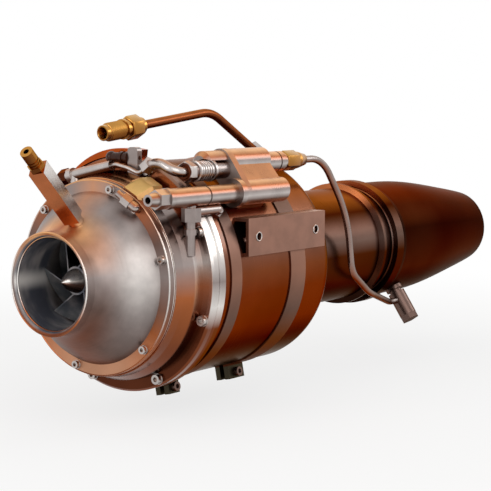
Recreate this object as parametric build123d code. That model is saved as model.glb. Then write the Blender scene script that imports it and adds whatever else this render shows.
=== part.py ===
from build123d import *
import math
import os

# Small turbojet engine with a centrifugal compressor, annular combustor and reheat jet pipe.
# Lengths are in millimetres. X is the rotor axis and the gas flows towards +X. Z is up.
# The origin is the centre of the intake mouth. The near side, seen in use, is -Y.
# A clock angle is counted about X from the top towards the near side.

# Clearances
nest_gap = 0.1
screw_gap = 0.2
tip_gap = 0.4
back_gap = 0.9
shaft_gap = 0.05
ball_gap = 0.25

# Main radii, from the casing inwards
casing_r = 101.0
rim_r = casing_r + 6.0
housing_bore_r = rim_r - 15.0
housing_step_r = housing_bore_r + 3.0
housing_front_r = housing_bore_r - 3.0
spigot_r = housing_front_r - 10.0
cover_flange_r = housing_front_r - 1.5
dome_edge_r = spigot_r - 2.0
impeller_r = 0.6 * casing_r

# Intake cover
lip_outer_r = 45.5
lip_inner_r = 41.0
lip_round = 3.5
neck_x = 9.0
cover_face_x = 57.0
cover_flange_t = 7.0
dome_shape = ((0.27, 0.175), (0.56, 0.54), (0.81, 0.84))
cover_screw_count = 6
cover_screw_clock = 15.0
cover_screw_r = 2.0
cover_screw_pitch_r = (dome_edge_r + cover_flange_r) / 2

# Compressor
inducer_x = 34.0
inducer_tip_r = 39.5
inducer_hub_r = 12.5
shroud_rear_x = 78.0
impeller_disc_x = shroud_rear_x + 6.0
impeller_rear_x = impeller_disc_x + 9.0
blade_count = 12
blade_t = 1.3
blade_root = 0.8
inducer_wrap = 70.0
inducer_lean = 32.0
exit_sweep = 30.0
spinner_tip_x = 16.0
spinner_r = 11.0

# Diffuser and front housing
rim_front_x = impeller_rear_x
rim_joint_x = rim_front_x + 9.5
rim_rear_x = rim_joint_x + 9.5
housing_step_x = rim_front_x - 10.0
vane_count = 15
straightener_count = 24
rim_screw_count = 8
rim_screw_clock = 19.5
rim_screw_r = 2.5
rim_screw_pitch_r = casing_r

# Turbine
turbine_x = 264.0
turbine_length = 11.0
turbine_hub_r = 30.0
turbine_tip_r = 46.6
turbine_ring_t = 3.0
turbine_count = 21
guide_x = turbine_x - 18.0
guide_length = 15.0
guide_count = 15
tail_cone_x = turbine_x + 16.0
tail_cone_length = 65.0
strut_count = 3

# Jet pipe and nozzle
pipe_r = 60.0
pipe_wall = 1.5
joint_x = 470.0
bead_x = joint_x - 32.0
bead_r = pipe_r + 5.5
joint_flange_r = pipe_r + 4.0
joint_flange_t = 3.0
joint_band_r = pipe_r + 7.5
joint_band_width = 13.0
joint_clock = -100.0
nozzle_front_r = pipe_r + 3.0
nozzle_rib_x = joint_x + 18.0
nozzle_mid_x = joint_x + 83.0
nozzle_exit_x = joint_x + 235.0
nozzle_exit_r = 43.0
nozzle_shape = ((0.0, 0.025), (0.35, 0.27), (0.67, 0.61))

# Combustor casing
casing_wall = 1.5
shoulder_x = turbine_x + 9.0
shoulder_r = 16.0
outlet_r = pipe_r - pipe_wall
pipe_flange_r = pipe_r + 10.0
pipe_flange_t = 4.0
pipe_screw_count = 8
pipe_screw_clock = 22.5
pipe_screw_r = 2.0
pipe_screw_pitch_r = pipe_r + 5.5

# Combustor liner and fuel ring
liner_front_x = rim_rear_x + 8.0
liner_rear_x = guide_x - 8.0
liner_outer_r = casing_r - 15.0
liner_inner_r = 27.0
liner_wall = 1.2
liner_hole_r = 4.0
liner_hole_count = 10
injector_count = 6
injector_r = 3.0
fuel_ring_r = (liner_outer_r + liner_inner_r) / 2
fuel_ring_x = liner_front_x - 5.0
fuel_ring_tube_r = 2.5

# Shaft and bearings
shaft_r = 6.0
shaft_front_x = 24.0
shaft_rear_x = turbine_x + turbine_length + 9.0
bearing_r = 14.0
bearing_width = 8.0
tunnel_front_x = impeller_rear_x + 5.0
front_bearing_x = tunnel_front_x + 6.0
rear_bearing_x = guide_x - 12.0
ball_r = 2.2
ball_count = 7
tunnel_r = 17.5
tunnel_flange_r = 27.0
tunnel_flange_t = 4.0

# Straps
strap_t = 1.2
front_strap_x = rim_rear_x + 13.0
front_strap_width = 15.0
rear_strap_x = shoulder_x - 57.5
rear_strap_width = 23.5
strap_clock = 169.0
ear_t = 5.5
ear_height = 14.0
ear_space = 5.0
strap_screw_r = 2.5

# Side rails
rail_length = 121.0
rail_x = shoulder_x - rail_length - 5.0
rail_face_y = casing_r + 3.0
rail_low_z = 18.0
rail_high_z = 52.0
rail_t = 3.0
rail_hole_pitch = 90.0
rail_hole_r = 3.3

# Start-air jet on the dome
air_x = 25.3
air_clock = 9.94
air_tilt = 47.4
air_bar_width = 14.0
air_bar_length = 68.0
air_bar_turn = 20.0
air_nipple_r = 5.6
air_nipple_length = 21.0
air_bore_r = 2.5

# Pressure tap on the cover flange
tap_clock = 39.6
tap_end_clock = 26.4
tap_stand_off = 6.0
tap_r = 4.2

# Faceted pad on the housing
gallery_clock = 28.5

# Sensor plug on a bracket in front of the main flange
sensor_y = -17.5
sensor_rise = 10.0
sensor_r = 4.4
sensor_length = 26.0
bracket_width = 11.5
bracket_depth = 6.0
bracket_stand_off = 3.5
sensor_stem_r = 1.8

# Fuel line across the top of the housing
crossover_x = 79.0
crossover_r = 4.5
crossover_thin_r = 2.0
crossover_arm_r = 4.8
crossover_cap_y = 46.0
crossover_arm_y = -3.0
cap_stem_r = 3.0

# Fuel valve block and its lines, as heights above the casing and clock angles
valve_rise = 22.87
valve_clock = 34.97
filter_rise = 16.61
filter_clock = 50.69
coupling_rise = 20.66
coupling_clock = 38.66
barrel_r = 12.0
valve_plate_x = 147.0
valve_plate_t = 8.0
valve_cap_length = 29.0
valve_length = 56.0
valve_bracket_clock = 41.5
passage_r = 3.0
filter_r = 8.5
filter_front_x = 25.0
filter_inlet_length = 26.0
coupling_length = 57.0
coupling_r = 8.8
tube_r = 4.0
outlet_drop = 2.5
outlet_stub_r = 9.5
outlet_length = 32.0
feed_nut_length = 35.0
feed_tube_r = 3.4
feed_tube_wall = 0.8
feed_bends = (40.0, 140.0, 28.0, 70.0, 30.0)
feed_route = ((69.0, 0.0, 0.0), (113.0, -1.0, -58.5), (127.5, 2.0, -119.0), (168.5, 7.0, -144.4))

# Drain below the filter
drain_nut_x = rim_front_x - 11.0
drain_foot_x = rim_rear_x + 7.0
drain_r = 4.2

# Reheat fuel fitting below the joint
reheat_x = joint_x + 38.0
reheat_clock = 146.0
reheat_r = 9.3
reheat_length = 41.0
reheat_stem_r = 5.0
feed_entry = 16.0

# Supply line above the engine, as heights above the casing
supply_y = -30.0
supply_start = (74.0, 36.6)
supply_top = (187.0, 49.4)
supply_foot = (shoulder_x - 17.0, 10.6)

BASE = (Align.CENTER, Align.CENTER, Align.MIN)
AHEAD = (Align.MIN, Align.CENTER, Align.MIN)
FLOW = (1, 0, 0)


def at_clock(x, radius, clock):
    """Point at a station, radius and clock angle."""
    angle = math.radians(clock)
    return (x, -radius * math.sin(angle), radius * math.cos(angle))


def radial(clock, forward=0.0):
    """Outward direction at a clock angle, tilted forward by some degrees."""
    angle = math.radians(clock)
    tilt = math.radians(forward)
    return (
        -math.sin(tilt),
        -math.sin(angle) * math.cos(tilt),
        math.cos(angle) * math.cos(tilt),
    )


def tangent(clock):
    """Direction of a growing clock angle."""
    angle = math.radians(clock)
    return (0, -math.cos(angle), -math.sin(angle))


def height_on(radius, y):
    """Height of a round surface about the rotor axis at a distance to the side."""
    return math.sqrt(radius ** 2 - y ** 2)


def direction_between(start, end):
    """Unit vector from one point to another."""
    length = math.dist(start, end)
    return tuple((b - a) / length for a, b in zip(start, end))


def shifted(point, direction, length):
    """A point moved along a direction."""
    return tuple(p + d * length for p, d in zip(point, direction))


def rod(start, direction, radius, length):
    """Round bar from a point along a direction."""
    return Plane(origin=start, z_dir=direction) * Cylinder(radius, length, align=BASE)


def hexagon(start, direction, across_flats, length):
    """Hexagonal bar from a point along a direction."""
    sketch = RegularPolygon(across_flats / 2, 6, major_radius=False)
    return Plane(origin=start, z_dir=direction) * extrude(sketch, length)


def ring(x0, x1, outer, inner):
    """Plain ring about the rotor axis."""
    wall = Circle(outer) - Circle(inner)
    return Plane(origin=(x0, 0, 0), z_dir=FLOW) * extrude(wall, x1 - x0)


def disc(x0, x1, radius):
    """Solid disc about the rotor axis."""
    return rod((x0, 0, 0), FLOW, radius, x1 - x0)


def turned(*edges):
    """Solid turned about the rotor axis from the edges of a closed outline."""
    return revolve(make_face(Curve() + list(edges)), axis=Axis.X)


def path(*points):
    """Straight edges through (x, r) points."""
    return Polyline(*[(x, 0, r) for x, r in points])


def turned_points(*points):
    """Solid turned about the rotor axis from straight edges."""
    return turned(path(*points, points[0]))


def clocked(shape, clock):
    """A shape turned about the rotor axis."""
    return Rot(clock, 0, 0) * shape


def around(shape, count, start=0.0):
    """Equal copies of a shape about the rotor axis."""
    return [clocked(shape, start + i * 360 / count) for i in range(count)]


def box_between(low, high):
    """Box between two corners."""
    size = [h - l for l, h in zip(low, high)]
    return Pos(*low) * Box(*size, align=(Align.MIN, Align.MIN, Align.MIN))


def socket_screw(head_point, direction, shank_r, length):
    """Cap screw with its head seated at a point and its shank along a direction."""
    back = tuple(-d for d in direction)
    head_height = 1.8 * shank_r
    screw = rod(head_point, back, 1.75 * shank_r, head_height) + rod(head_point, direction, shank_r, length)
    socket_start = shifted(head_point, back, head_height)
    return screw - hexagon(shifted(socket_start, direction, 1.2 * shank_r), back, 1.7 * shank_r, 2 * shank_r)


# Centres of the pipes that lie along the casing
_, valve_y, valve_z = at_clock(0, casing_r + valve_rise, valve_clock)
_, filter_y, filter_z = at_clock(0, casing_r + filter_rise, filter_clock)
_, coupling_y, coupling_z = at_clock(0, casing_r + coupling_rise, coupling_clock)
outlet_z = valve_z - outlet_drop
valve_front_x = valve_plate_x + valve_plate_t
valve_rear_x = valve_front_x + valve_length
outlet_rear_x = valve_rear_x + outlet_length
coupling_front_x = valve_plate_x - coupling_length


# Intake cover: bellmouth, dome, flange and compressor shroud turned in one piece
def dome_points():
    """Stations and radii of the dome between its neck and its edge."""
    length = cover_face_x - neck_x
    rise = dome_edge_r - lip_outer_r
    return [(neck_x + a * length, lip_outer_r + b * rise) for a, b in ((0, 0), *dome_shape, (1, 1))]


def dome_r(x):
    """Radius of the dome at a station."""
    for (x0, r0), (x1, r1) in zip(dome_points(), dome_points()[1:]):
        if x <= x1:
            return r0 + (r1 - r0) * (x - x0) / (x1 - x0)
    return dome_edge_r


def shroud_arc(gap):
    """Compressor shroud line, offset into the passage by a gap."""
    length = shroud_rear_x - inducer_x + gap
    depth = impeller_r - inducer_tip_r + gap
    centre = Plane(origin=(inducer_x, 0, impeller_r), x_dir=FLOW, z_dir=(0, -1, 0))
    return centre * EllipticalCenterArc((0, 0), length, depth, start_angle=270, arc_size=90)


def intake_cover():
    flange_rear = cover_face_x + cover_flange_t
    reach = lip_round * math.sqrt(0.5)
    mouth = ThreePointArc(
        (lip_round, 0, lip_inner_r),
        (lip_round - reach, 0, lip_inner_r + lip_round - reach),
        (0, 0, lip_inner_r + lip_round),
    )
    neck = path((0, lip_inner_r + lip_round), (0, lip_outer_r), (neck_x, lip_outer_r))
    dome = Spline(*[(x, 0, r) for x, r in dome_points()], tangents=[(1, 0, 0.1), (1, 0, 0.45)])
    flange = path(
        (cover_face_x, dome_edge_r),
        (cover_face_x, cover_flange_r),
        (flange_rear, cover_flange_r),
        (flange_rear, spigot_r - nest_gap),
        (shroud_rear_x, spigot_r - nest_gap),
        (shroud_rear_x, impeller_r),
    )
    bellmouth = Spline(
        (inducer_x, 0, inducer_tip_r),
        (inducer_x - 10, 0, inducer_tip_r),
        (lip_round, 0, lip_inner_r),
        tangents=[(-1, 0, 0), (-1, 0, 0.1)],
    )
    cover = turned(mouth, neck, dome, flange, shroud_arc(0), bellmouth)
    front = at_clock(cover_face_x - 1, cover_screw_pitch_r, 0)
    hole = rod(front, FLOW, cover_screw_r + screw_gap, cover_flange_t + 2)
    for cut in around(hole, cover_screw_count, cover_screw_clock):
        cover -= cut
    outward = air_direction()
    inward = tuple(-d for d in outward)
    cover -= rod(air_seat(), outward, air_bar_width / 2 + nest_gap, air_bar_length)
    cover -= rod(air_seat(), inward, air_bore_r, 20)
    return cover - rod(tap_root(), FLOW, tap_r - 1, 4)


def cover_screws():
    length = cover_flange_t + 8
    screw = socket_screw(at_clock(cover_face_x, cover_screw_pitch_r, 0), FLOW, cover_screw_r, length)
    return around(screw, cover_screw_count, cover_screw_clock)


# Start-air jet: a square bar screwed into the dome with a hose nipple on its end
def air_direction():
    return radial(air_clock, air_tilt)


def air_base():
    return at_clock(air_x, dome_r(air_x) - 0.4, air_clock)


def air_seat():
    """Bottom of the socket that holds the bar's foot."""
    return shifted(air_base(), air_direction(), -3)


def air_bar_start():
    return shifted(air_base(), air_direction(), 5.5)


def air_bar_top():
    return shifted(air_bar_start(), air_direction(), air_bar_length)


def start_air_jet():
    direction = air_direction()
    foot = rod(air_seat(), direction, air_bar_width / 2, 9)
    flats = Plane(origin=air_bar_start(), z_dir=direction) * Rot(0, 0, air_bar_turn)
    bar = flats * Box(air_bar_width, air_bar_width, air_bar_length, align=BASE)
    jet = foot + bar - rod(air_seat(), direction, air_bore_r, air_bar_length + 20)
    socket = rod(shifted(air_bar_top(), direction, -8), direction, air_nipple_r - 1 + nest_gap, 9)
    return jet - socket


def start_air_nipple():
    direction = air_direction()
    top = air_bar_top()
    stem = rod(shifted(top, direction, -8), direction, air_nipple_r - 1, 8)
    collar = hexagon(top, direction, 2 * air_nipple_r + 1.5, 5)
    tail = rod(shifted(top, direction, 5), direction, air_nipple_r, air_nipple_length - 5)
    body = stem + collar + tail
    for step in (7, 10):
        start = shifted(top, direction, step)
        body -= rod(start, direction, air_nipple_r + 1, 1.4) - rod(start, direction, air_nipple_r - 0.9, 1.4)
    return body - rod(shifted(top, direction, -9), direction, air_bore_r, air_nipple_length + 10)


# Pressure tap: an elbow that stands on the cover flange and lies along its edge
def tap_root():
    return at_clock(cover_face_x, cover_screw_pitch_r, tap_clock)


def pressure_tap():
    corner = at_clock(cover_face_x - tap_stand_off, cover_screw_pitch_r + 2.5, tap_clock)
    end = at_clock(cover_face_x - tap_stand_off - 5, cover_screw_pitch_r + 4.5, tap_end_clock)
    along = direction_between(corner, end)
    back = tuple(-d for d in along)
    reach = math.dist(corner, end)
    forward = (-1, 0, 0)
    root = shifted(tap_root(), FLOW, 4)
    post = rod(root, forward, tap_r - 1 - nest_gap, tap_stand_off + 4)
    tap = post + Pos(*corner) * Sphere(tap_r)
    tap += rod(corner, along, tap_r, reach - 6) + rod(corner, along, tap_r - 1, reach)
    tap += hexagon(shifted(corner, along, 5), along, 2 * tap_r + 1.4, reach - 12)
    return tap - rod(end, back, 1.2, 12)


# Front housing with the forward half of the main flange
def front_housing():
    front = cover_face_x + cover_flange_t
    outline = (
        (front, spigot_r),
        (front, housing_front_r),
        (housing_step_x - 10, housing_front_r + 1.5),
        (housing_step_x, housing_step_r),
        (rim_front_x, housing_step_r + 1),
        (rim_front_x, rim_r - 2),
        (rim_front_x + 2, rim_r),
        (rim_joint_x - 2, rim_r),
        (rim_joint_x, rim_r - 3),
        (rim_joint_x, housing_bore_r),
        (impeller_disc_x + 2, housing_bore_r),
        (shroud_rear_x, spigot_r + 5),
        (shroud_rear_x, spigot_r),
    )
    housing = turned_points(*outline)
    length = rim_joint_x - rim_front_x + 2
    hole = rod(at_clock(rim_front_x - 1, rim_screw_pitch_r, 0), FLOW, rim_screw_r + screw_gap, length)
    for cut in around(hole, rim_screw_count, rim_screw_clock):
        housing -= cut
    blind = rod(at_clock(front, cover_screw_pitch_r, 0), FLOW, cover_screw_r + nest_gap, 9)
    for cut in around(blind, cover_screw_count, cover_screw_clock):
        housing -= cut
    return housing


def main_flange_screws():
    length = rim_rear_x - rim_front_x - 1
    screw = socket_screw(at_clock(rim_front_x, rim_screw_pitch_r, 0), FLOW, rim_screw_r, length)
    return around(screw, rim_screw_count, rim_screw_clock)


# Impeller: backswept blades with splitters on a curved hub
def hub_point(share):
    angle = math.radians(90 * share)
    x = inducer_x + (impeller_disc_x - inducer_x) * math.sin(angle)
    r = impeller_r - (impeller_r - inducer_hub_r) * math.cos(angle)
    return x, r


def tip_point(share):
    angle = math.radians(90 * share)
    x = inducer_x + (shroud_rear_x - inducer_x + tip_gap) * math.sin(angle)
    r = impeller_r - (impeller_r - inducer_tip_r + tip_gap) * math.cos(angle)
    return x, r


def blade_section(share):
    """Slice across one blade from hub to shroud at a share of its length."""
    angle = math.radians(90 * share)
    wrap_hub = math.radians(inducer_wrap * (1 - share) ** 1.7 - exit_sweep * share ** 2)
    wrap_tip = wrap_hub + math.radians(inducer_lean * (1 - share) ** 2)
    hub_x, hub_r = hub_point(share)
    tip_x, tip_r = tip_point(share)
    hub_x += blade_root * math.sin(angle)
    hub_r -= blade_root * math.cos(angle)
    root = Vector(hub_x, -hub_r * math.sin(wrap_hub), hub_r * math.cos(wrap_hub))
    tip = Vector(tip_x, -tip_r * math.sin(wrap_tip), tip_r * math.cos(wrap_tip))
    middle = (wrap_hub + wrap_tip) / 2
    half = Vector(0, -math.cos(middle), -math.sin(middle)) * (blade_t / 2)
    return Wire.make_polygon([root - half, root + half, tip + half, tip - half], close=True)


def impeller_blade(first_share):
    """One blade as a loft of slices along the passage."""
    steps = 5
    shares = [first_share + (1 - first_share) * i / steps for i in range(steps + 1)]
    return Solid.make_loft([blade_section(share) for share in shares])


def impeller():
    hub_curve = [hub_point(i / 8) for i in range(9)]
    bore = shaft_r + shaft_gap
    hub = turned_points(
        (inducer_x, bore),
        *hub_curve,
        (impeller_disc_x + 2, impeller_r),
        (impeller_disc_x + 3.5, impeller_r - 20.5),
        (impeller_rear_x - 1, bearing_r + 6),
        (impeller_rear_x, bearing_r),
        (impeller_rear_x, bore),
    )
    wheel = hub
    blades = around(impeller_blade(0.0), blade_count // 2)
    blades += around(impeller_blade(0.3), blade_count // 2, 360 / blade_count)
    for blade in blades:
        wheel += blade
    return wheel & disc(inducer_x - 1, impeller_rear_x + 1, impeller_r)


def spinner_nut():
    nose = Spline(
        (spinner_tip_x, 0, 0),
        (spinner_tip_x + 8, 0, 0.6 * spinner_r),
        (inducer_x, 0, spinner_r),
        tangents=[(1, 0, 0.95), (1, 0, 0.25)],
    )
    base = path((inducer_x, spinner_r), (inducer_x, 0), (spinner_tip_x, 0))
    return turned(nose, base) - disc(shaft_front_x, inducer_x + 1, shaft_r - 1 + shaft_gap)


# Diffuser: wedge vanes on a plate, straightener vanes on its rim
def wedge_vane():
    inner_r = impeller_r + 3.5
    outer_r = housing_bore_r - 10.0
    lean = 20
    spread = 5.5

    sides = [spot_yz(outer_r, lean + turn) for turn in (-spread, spread)]
    outline = Polyline(spot_yz(inner_r, 0), *sides, close=True)
    return Plane(origin=(shroud_rear_x, 0, 0), x_dir=(0, 1, 0), z_dir=FLOW) * extrude(
        make_face(outline), impeller_disc_x - shroud_rear_x + 0.5
    )


def diffuser():
    drum_r = housing_bore_r - 9.0
    rear = tunnel_front_x
    body = turned_points(
        (impeller_disc_x, impeller_r + 1.1),
        (impeller_disc_x, drum_r),
        (rear + 2, drum_r),
        (rear + 2, drum_r - 3),
        (impeller_disc_x + 5, drum_r - 3),
        (impeller_disc_x + 5, impeller_r + 3),
        (rear, 30),
        (rear, tunnel_r + nest_gap),
        (impeller_rear_x + back_gap, tunnel_r + nest_gap),
        (impeller_rear_x + back_gap, 22),
        (impeller_disc_x + 3.5 + back_gap, impeller_r - 18.5),
        (impeller_disc_x + 2 + back_gap, impeller_r + 1.1),
    )
    for vane in around(wedge_vane(), vane_count):
        body += vane
    reach = housing_bore_r - drum_r + 1 - nest_gap
    place = Pos(impeller_disc_x + 5, 0, drum_r - 1) * Rot(0, 0, 12)
    straightener = place * Box(9, 1.6, reach, align=AHEAD)
    for vane in around(straightener, straightener_count):
        body += vane
    return body


# Shaft tunnel with a bearing seat at each end
def shaft_tunnel():
    front = tunnel_front_x
    rear = guide_x + 4
    tunnel = turned_points(
        (front - 3, tunnel_r),
        (front, tunnel_r),
        (front, tunnel_flange_r),
        (front + tunnel_flange_t, tunnel_flange_r),
        (front + tunnel_flange_t, tunnel_r),
        (rear, tunnel_r),
        (rear, bearing_r + nest_gap),
        (rear_bearing_x - 2, bearing_r + nest_gap),
        (rear_bearing_x - 2, bearing_r - 2),
        (front_bearing_x + bearing_width, bearing_r - 2),
        (front_bearing_x + bearing_width, bearing_r + nest_gap),
        (front - 3, bearing_r + nest_gap),
    )
    return tunnel


# Ball bearings
def groove(x, radius):
    centre = (x + bearing_width / 2, 0, 0)
    return Plane(origin=centre, z_dir=FLOW) * Torus(radius, ball_r + ball_gap)


def ball_circle_r():
    return (bearing_r + shaft_r) / 2


def outer_race(x):
    race = ring(x, x + bearing_width, bearing_r, ball_circle_r() + 1.5)
    return race - groove(x, ball_circle_r())


def inner_race(x):
    race = ring(x, x + bearing_width, ball_circle_r() - 1.5, shaft_r + shaft_gap)
    return race - groove(x, ball_circle_r())


def balls(x):
    ball = Pos(*at_clock(x + bearing_width / 2, ball_circle_r(), 0)) * Sphere(ball_r)
    return around(ball, ball_count)


def cage(x):
    hoop = ring(x + 1.2, x + bearing_width - 1.2, ball_circle_r() + 0.8, ball_circle_r() - 0.8)
    pocket = rod(at_clock(x + bearing_width / 2, ball_circle_r() - 3, 0), (0, 0, 1), ball_r + 0.15, 6)
    for cut in around(pocket, ball_count):
        hoop -= cut
    return hoop


# Rotor shaft and turbine
def rotor_shaft():
    middle_r = shaft_r + 2
    middle_front = front_bearing_x + bearing_width
    middle_rear = rear_bearing_x
    shaft = disc(shaft_front_x, inducer_x, shaft_r - 1)
    shaft += disc(inducer_x, shaft_rear_x, shaft_r)
    return shaft + disc(middle_front, middle_rear, middle_r)


def front_spacer():
    return ring(impeller_rear_x, front_bearing_x, shaft_r + 2.5, shaft_r + shaft_gap)


def rear_spacer():
    return ring(rear_bearing_x + bearing_width, turbine_x, shaft_r + 2.5, shaft_r + shaft_gap)


def foil(chord, camber, thickness):
    """Curved blade section, chord along X, in the plane of the flow and the spin."""
    front = (-chord / 2, 0)
    back = (chord / 2, 0)
    upper = ThreePointArc(front, (0, camber + thickness / 2), back)
    lower = ThreePointArc(back, (0, camber - thickness / 2), front)
    return make_face(Curve() + [upper, lower])


def radial_blade(x, root, tip, chord, camber, thickness, stagger):
    """Blade of one section that stands on a hub at the top of the rotor axis."""
    section = Rot(0, 0, stagger) * foil(chord, camber, thickness)
    return Pos(x, 0, root) * extrude(section, tip - root)


def guide_vanes():
    middle = guide_x + guide_length / 2
    plate_x = rear_plate_x() - casing_wall
    outer = turbine_tip_r + tip_gap
    shroud = turned_points(
        (guide_x, outer),
        (guide_x, outer + turbine_ring_t),
        (plate_x - 3, outer + turbine_ring_t),
        (plate_x - 3, casing_r - 25),
        (plate_x, casing_r - 25),
        (plate_x, outer),
    )
    hub = ring(guide_x, guide_x + guide_length, turbine_hub_r, liner_inner_r)
    web = ring(guide_x, guide_x + 4, liner_inner_r + 0.5, tunnel_r + nest_gap)
    body = hub + web
    vane = radial_blade(middle, turbine_hub_r - 1, outer + 1, 12, 1.6, 1.6, -28)
    keep = ring(guide_x, guide_x + guide_length, outer + 1, turbine_hub_r - 1)
    body += [clocked(vane & keep, i * 360 / guide_count) for i in range(guide_count)]
    return shroud + body


def turbine_wheel():
    hub = turned_points(
        (turbine_x, shaft_r + shaft_gap),
        (turbine_x, 12),
        (turbine_x + 2.5, 20),
        (turbine_x, 25),
        (turbine_x, turbine_hub_r),
        (turbine_x + turbine_length, turbine_hub_r),
        (turbine_x + turbine_length, 25),
        (turbine_x + turbine_length - 2.5, 20),
        (turbine_x + turbine_length, 12),
        (turbine_x + turbine_length, shaft_r + shaft_gap),
    )
    middle = turbine_x + turbine_length / 2
    blade = radial_blade(middle, turbine_hub_r - 1, turbine_tip_r + 1, 9, 1.8, 1.4, 20)
    blade = blade & ring(turbine_x, turbine_x + turbine_length, turbine_tip_r, turbine_hub_r - 1)
    return hub + around(blade, turbine_count)


def turbine_nut():
    start = turbine_x + turbine_length
    nut = hexagon((start, 0, 0), FLOW, 19, shaft_rear_x - start - 1)
    return nut - disc(start - 1, shaft_rear_x + 1, shaft_r + shaft_gap)


# Combustor
def casing_shoulder(inset):
    """Rounded rear corner of the casing, moved inwards by an inset."""
    corner = shoulder_r - inset
    centre_r = casing_r - shoulder_r
    bend = math.sqrt(0.5) * corner
    return ThreePointArc(
        (shoulder_x, 0, centre_r + corner),
        (shoulder_x + bend, 0, centre_r + bend),
        (shoulder_x + corner, 0, centre_r),
    )


def combustor_casing():
    outer_shoulder = casing_shoulder(0)
    inner_shoulder = casing_shoulder(casing_wall)
    inner_r = casing_r - casing_wall
    knee_x = shoulder_x + shoulder_r
    outside = path(
        (rim_joint_x, rim_r - 3),
        (rim_joint_x + 2, rim_r),
        (rim_rear_x - 2, rim_r),
        (rim_rear_x, rim_r - 2),
        (rim_rear_x, casing_r),
        (shoulder_x, casing_r),
    )
    rear = path(
        (knee_x, casing_r - shoulder_r),
        (knee_x, outlet_r),
        (knee_x - casing_wall, outlet_r),
        (knee_x - casing_wall, casing_r - shoulder_r),
    )
    inside = path(
        (shoulder_x, inner_r),
        (rim_rear_x, inner_r),
        (rim_joint_x, housing_bore_r),
        (rim_joint_x, rim_r - 3),
    )
    casing = turned(outside, outer_shoulder, rear, inner_shoulder, inside)
    hole = rod(at_clock(rim_joint_x - 1, rim_screw_pitch_r, 0), FLOW, rim_screw_r + screw_gap, 10)
    for cut in around(hole, rim_screw_count, rim_screw_clock):
        casing -= cut
    hole = rod(at_clock(knee_x - 4, pipe_screw_pitch_r, 0), FLOW, pipe_screw_r + nest_gap, 6)
    for cut in around(hole, pipe_screw_count, pipe_screw_clock):
        casing -= cut
    return casing


def combustor_liner():
    """Flame tube with an open rear between its two walls."""
    front = liner_front_x
    rear = liner_rear_x
    outer = liner_outer_r
    inner = liner_inner_r
    wall = liner_wall
    exit_r = turbine_tip_r + tip_gap + turbine_ring_t + nest_gap
    liner = turned_points(
        (guide_x, inner - nest_gap),
        (front + 4, inner - nest_gap),
        (front, inner + 5),
        (front, outer - 6),
        (front + 6, outer),
        (rear - 22, outer),
        (rear, exit_r + wall + 4),
        (guide_x + 5, exit_r + wall),
        (guide_x + 5, exit_r),
        (rear - wall, exit_r),
        (rear - wall, exit_r + 3),
        (rear - 22 - wall / 2, outer - wall),
        (front + 6 + wall / 2, outer - wall),
        (front + wall, outer - 6 - wall / 2),
        (front + wall, inner + 5),
        (front + 4 + wall / 2, inner - nest_gap + wall),
        (guide_x - nest_gap, inner - nest_gap + wall),
        (guide_x - nest_gap, inner - nest_gap),
    )
    for row in range(2):
        x = front + 35 + 38 * row
        hole = rod(at_clock(x, outer - 5, 0), (0, 0, 1), liner_hole_r, 10)
        for cut in around(hole, liner_hole_count, 18 * row):
            liner -= cut
    hole = rod(at_clock(front + 60, inner - 4, 0), (0, 0, 1), liner_hole_r - 1, 8)
    for cut in around(hole, injector_count):
        liner -= cut
    hole = rod((front - 1, 0, fuel_ring_r), FLOW, injector_r + nest_gap, 4)
    for cut in around(hole, injector_count):
        liner -= cut
    return liner


def fuel_ring():
    manifold = Plane(origin=(fuel_ring_x, 0, 0), z_dir=FLOW) * Torus(fuel_ring_r, fuel_ring_tube_r)
    length = liner_front_x + 12 - fuel_ring_x
    for stick in around(rod((fuel_ring_x, 0, fuel_ring_r), FLOW, injector_r, length), injector_count):
        manifold += stick
    reach = casing_r - casing_wall - nest_gap - fuel_ring_r
    return manifold + rod(at_clock(fuel_ring_x, fuel_ring_r, 30), radial(30), 2.2, reach)


# Jet pipe, nozzle and the band that joins them
def rear_plate_x():
    return shoulder_x + shoulder_r


def jet_pipe():
    front = rear_plate_x()
    inner = pipe_r - pipe_wall
    pipe = turned_points(
        (front, inner),
        (front, pipe_flange_r),
        (front + pipe_flange_t, pipe_flange_r),
        (front + pipe_flange_t, pipe_r),
        (bead_x, pipe_r),
        (bead_x + 2, bead_r),
        (bead_x + 6, bead_r),
        (bead_x + 9, pipe_r),
        (joint_x - joint_flange_t - 3, pipe_r),
        (joint_x - joint_flange_t, joint_flange_r),
        (joint_x, joint_flange_r),
        (joint_x, inner),
    )
    hole = rod(at_clock(front - 1, pipe_screw_pitch_r, 0), FLOW, pipe_screw_r + screw_gap, pipe_flange_t + 2)
    for cut in around(hole, pipe_screw_count, pipe_screw_clock):
        pipe -= cut
    return pipe


def jet_pipe_screws():
    head = at_clock(rear_plate_x() + pipe_flange_t, pipe_screw_pitch_r, 0)
    screw = rod(head, FLOW, 1.7 * pipe_screw_r, 1.6 * pipe_screw_r)
    screw += rod(head, (-1, 0, 0), pipe_screw_r, pipe_flange_t + casing_wall)
    return around(screw, pipe_screw_count, pipe_screw_clock)


def nozzle_line(inset):
    """Taper of the nozzle from its front to its exit, moved inwards by an inset."""
    length = nozzle_exit_x - nozzle_mid_x
    fall = nozzle_front_r - nozzle_exit_r
    line = [(nozzle_rib_x + 8, 0, nozzle_front_r - inset)]
    for x_share, fall_share in (*nozzle_shape, (1, 1)):
        line.append((nozzle_mid_x + x_share * length, 0, nozzle_front_r - fall_share * fall - inset))
    return line


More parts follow.
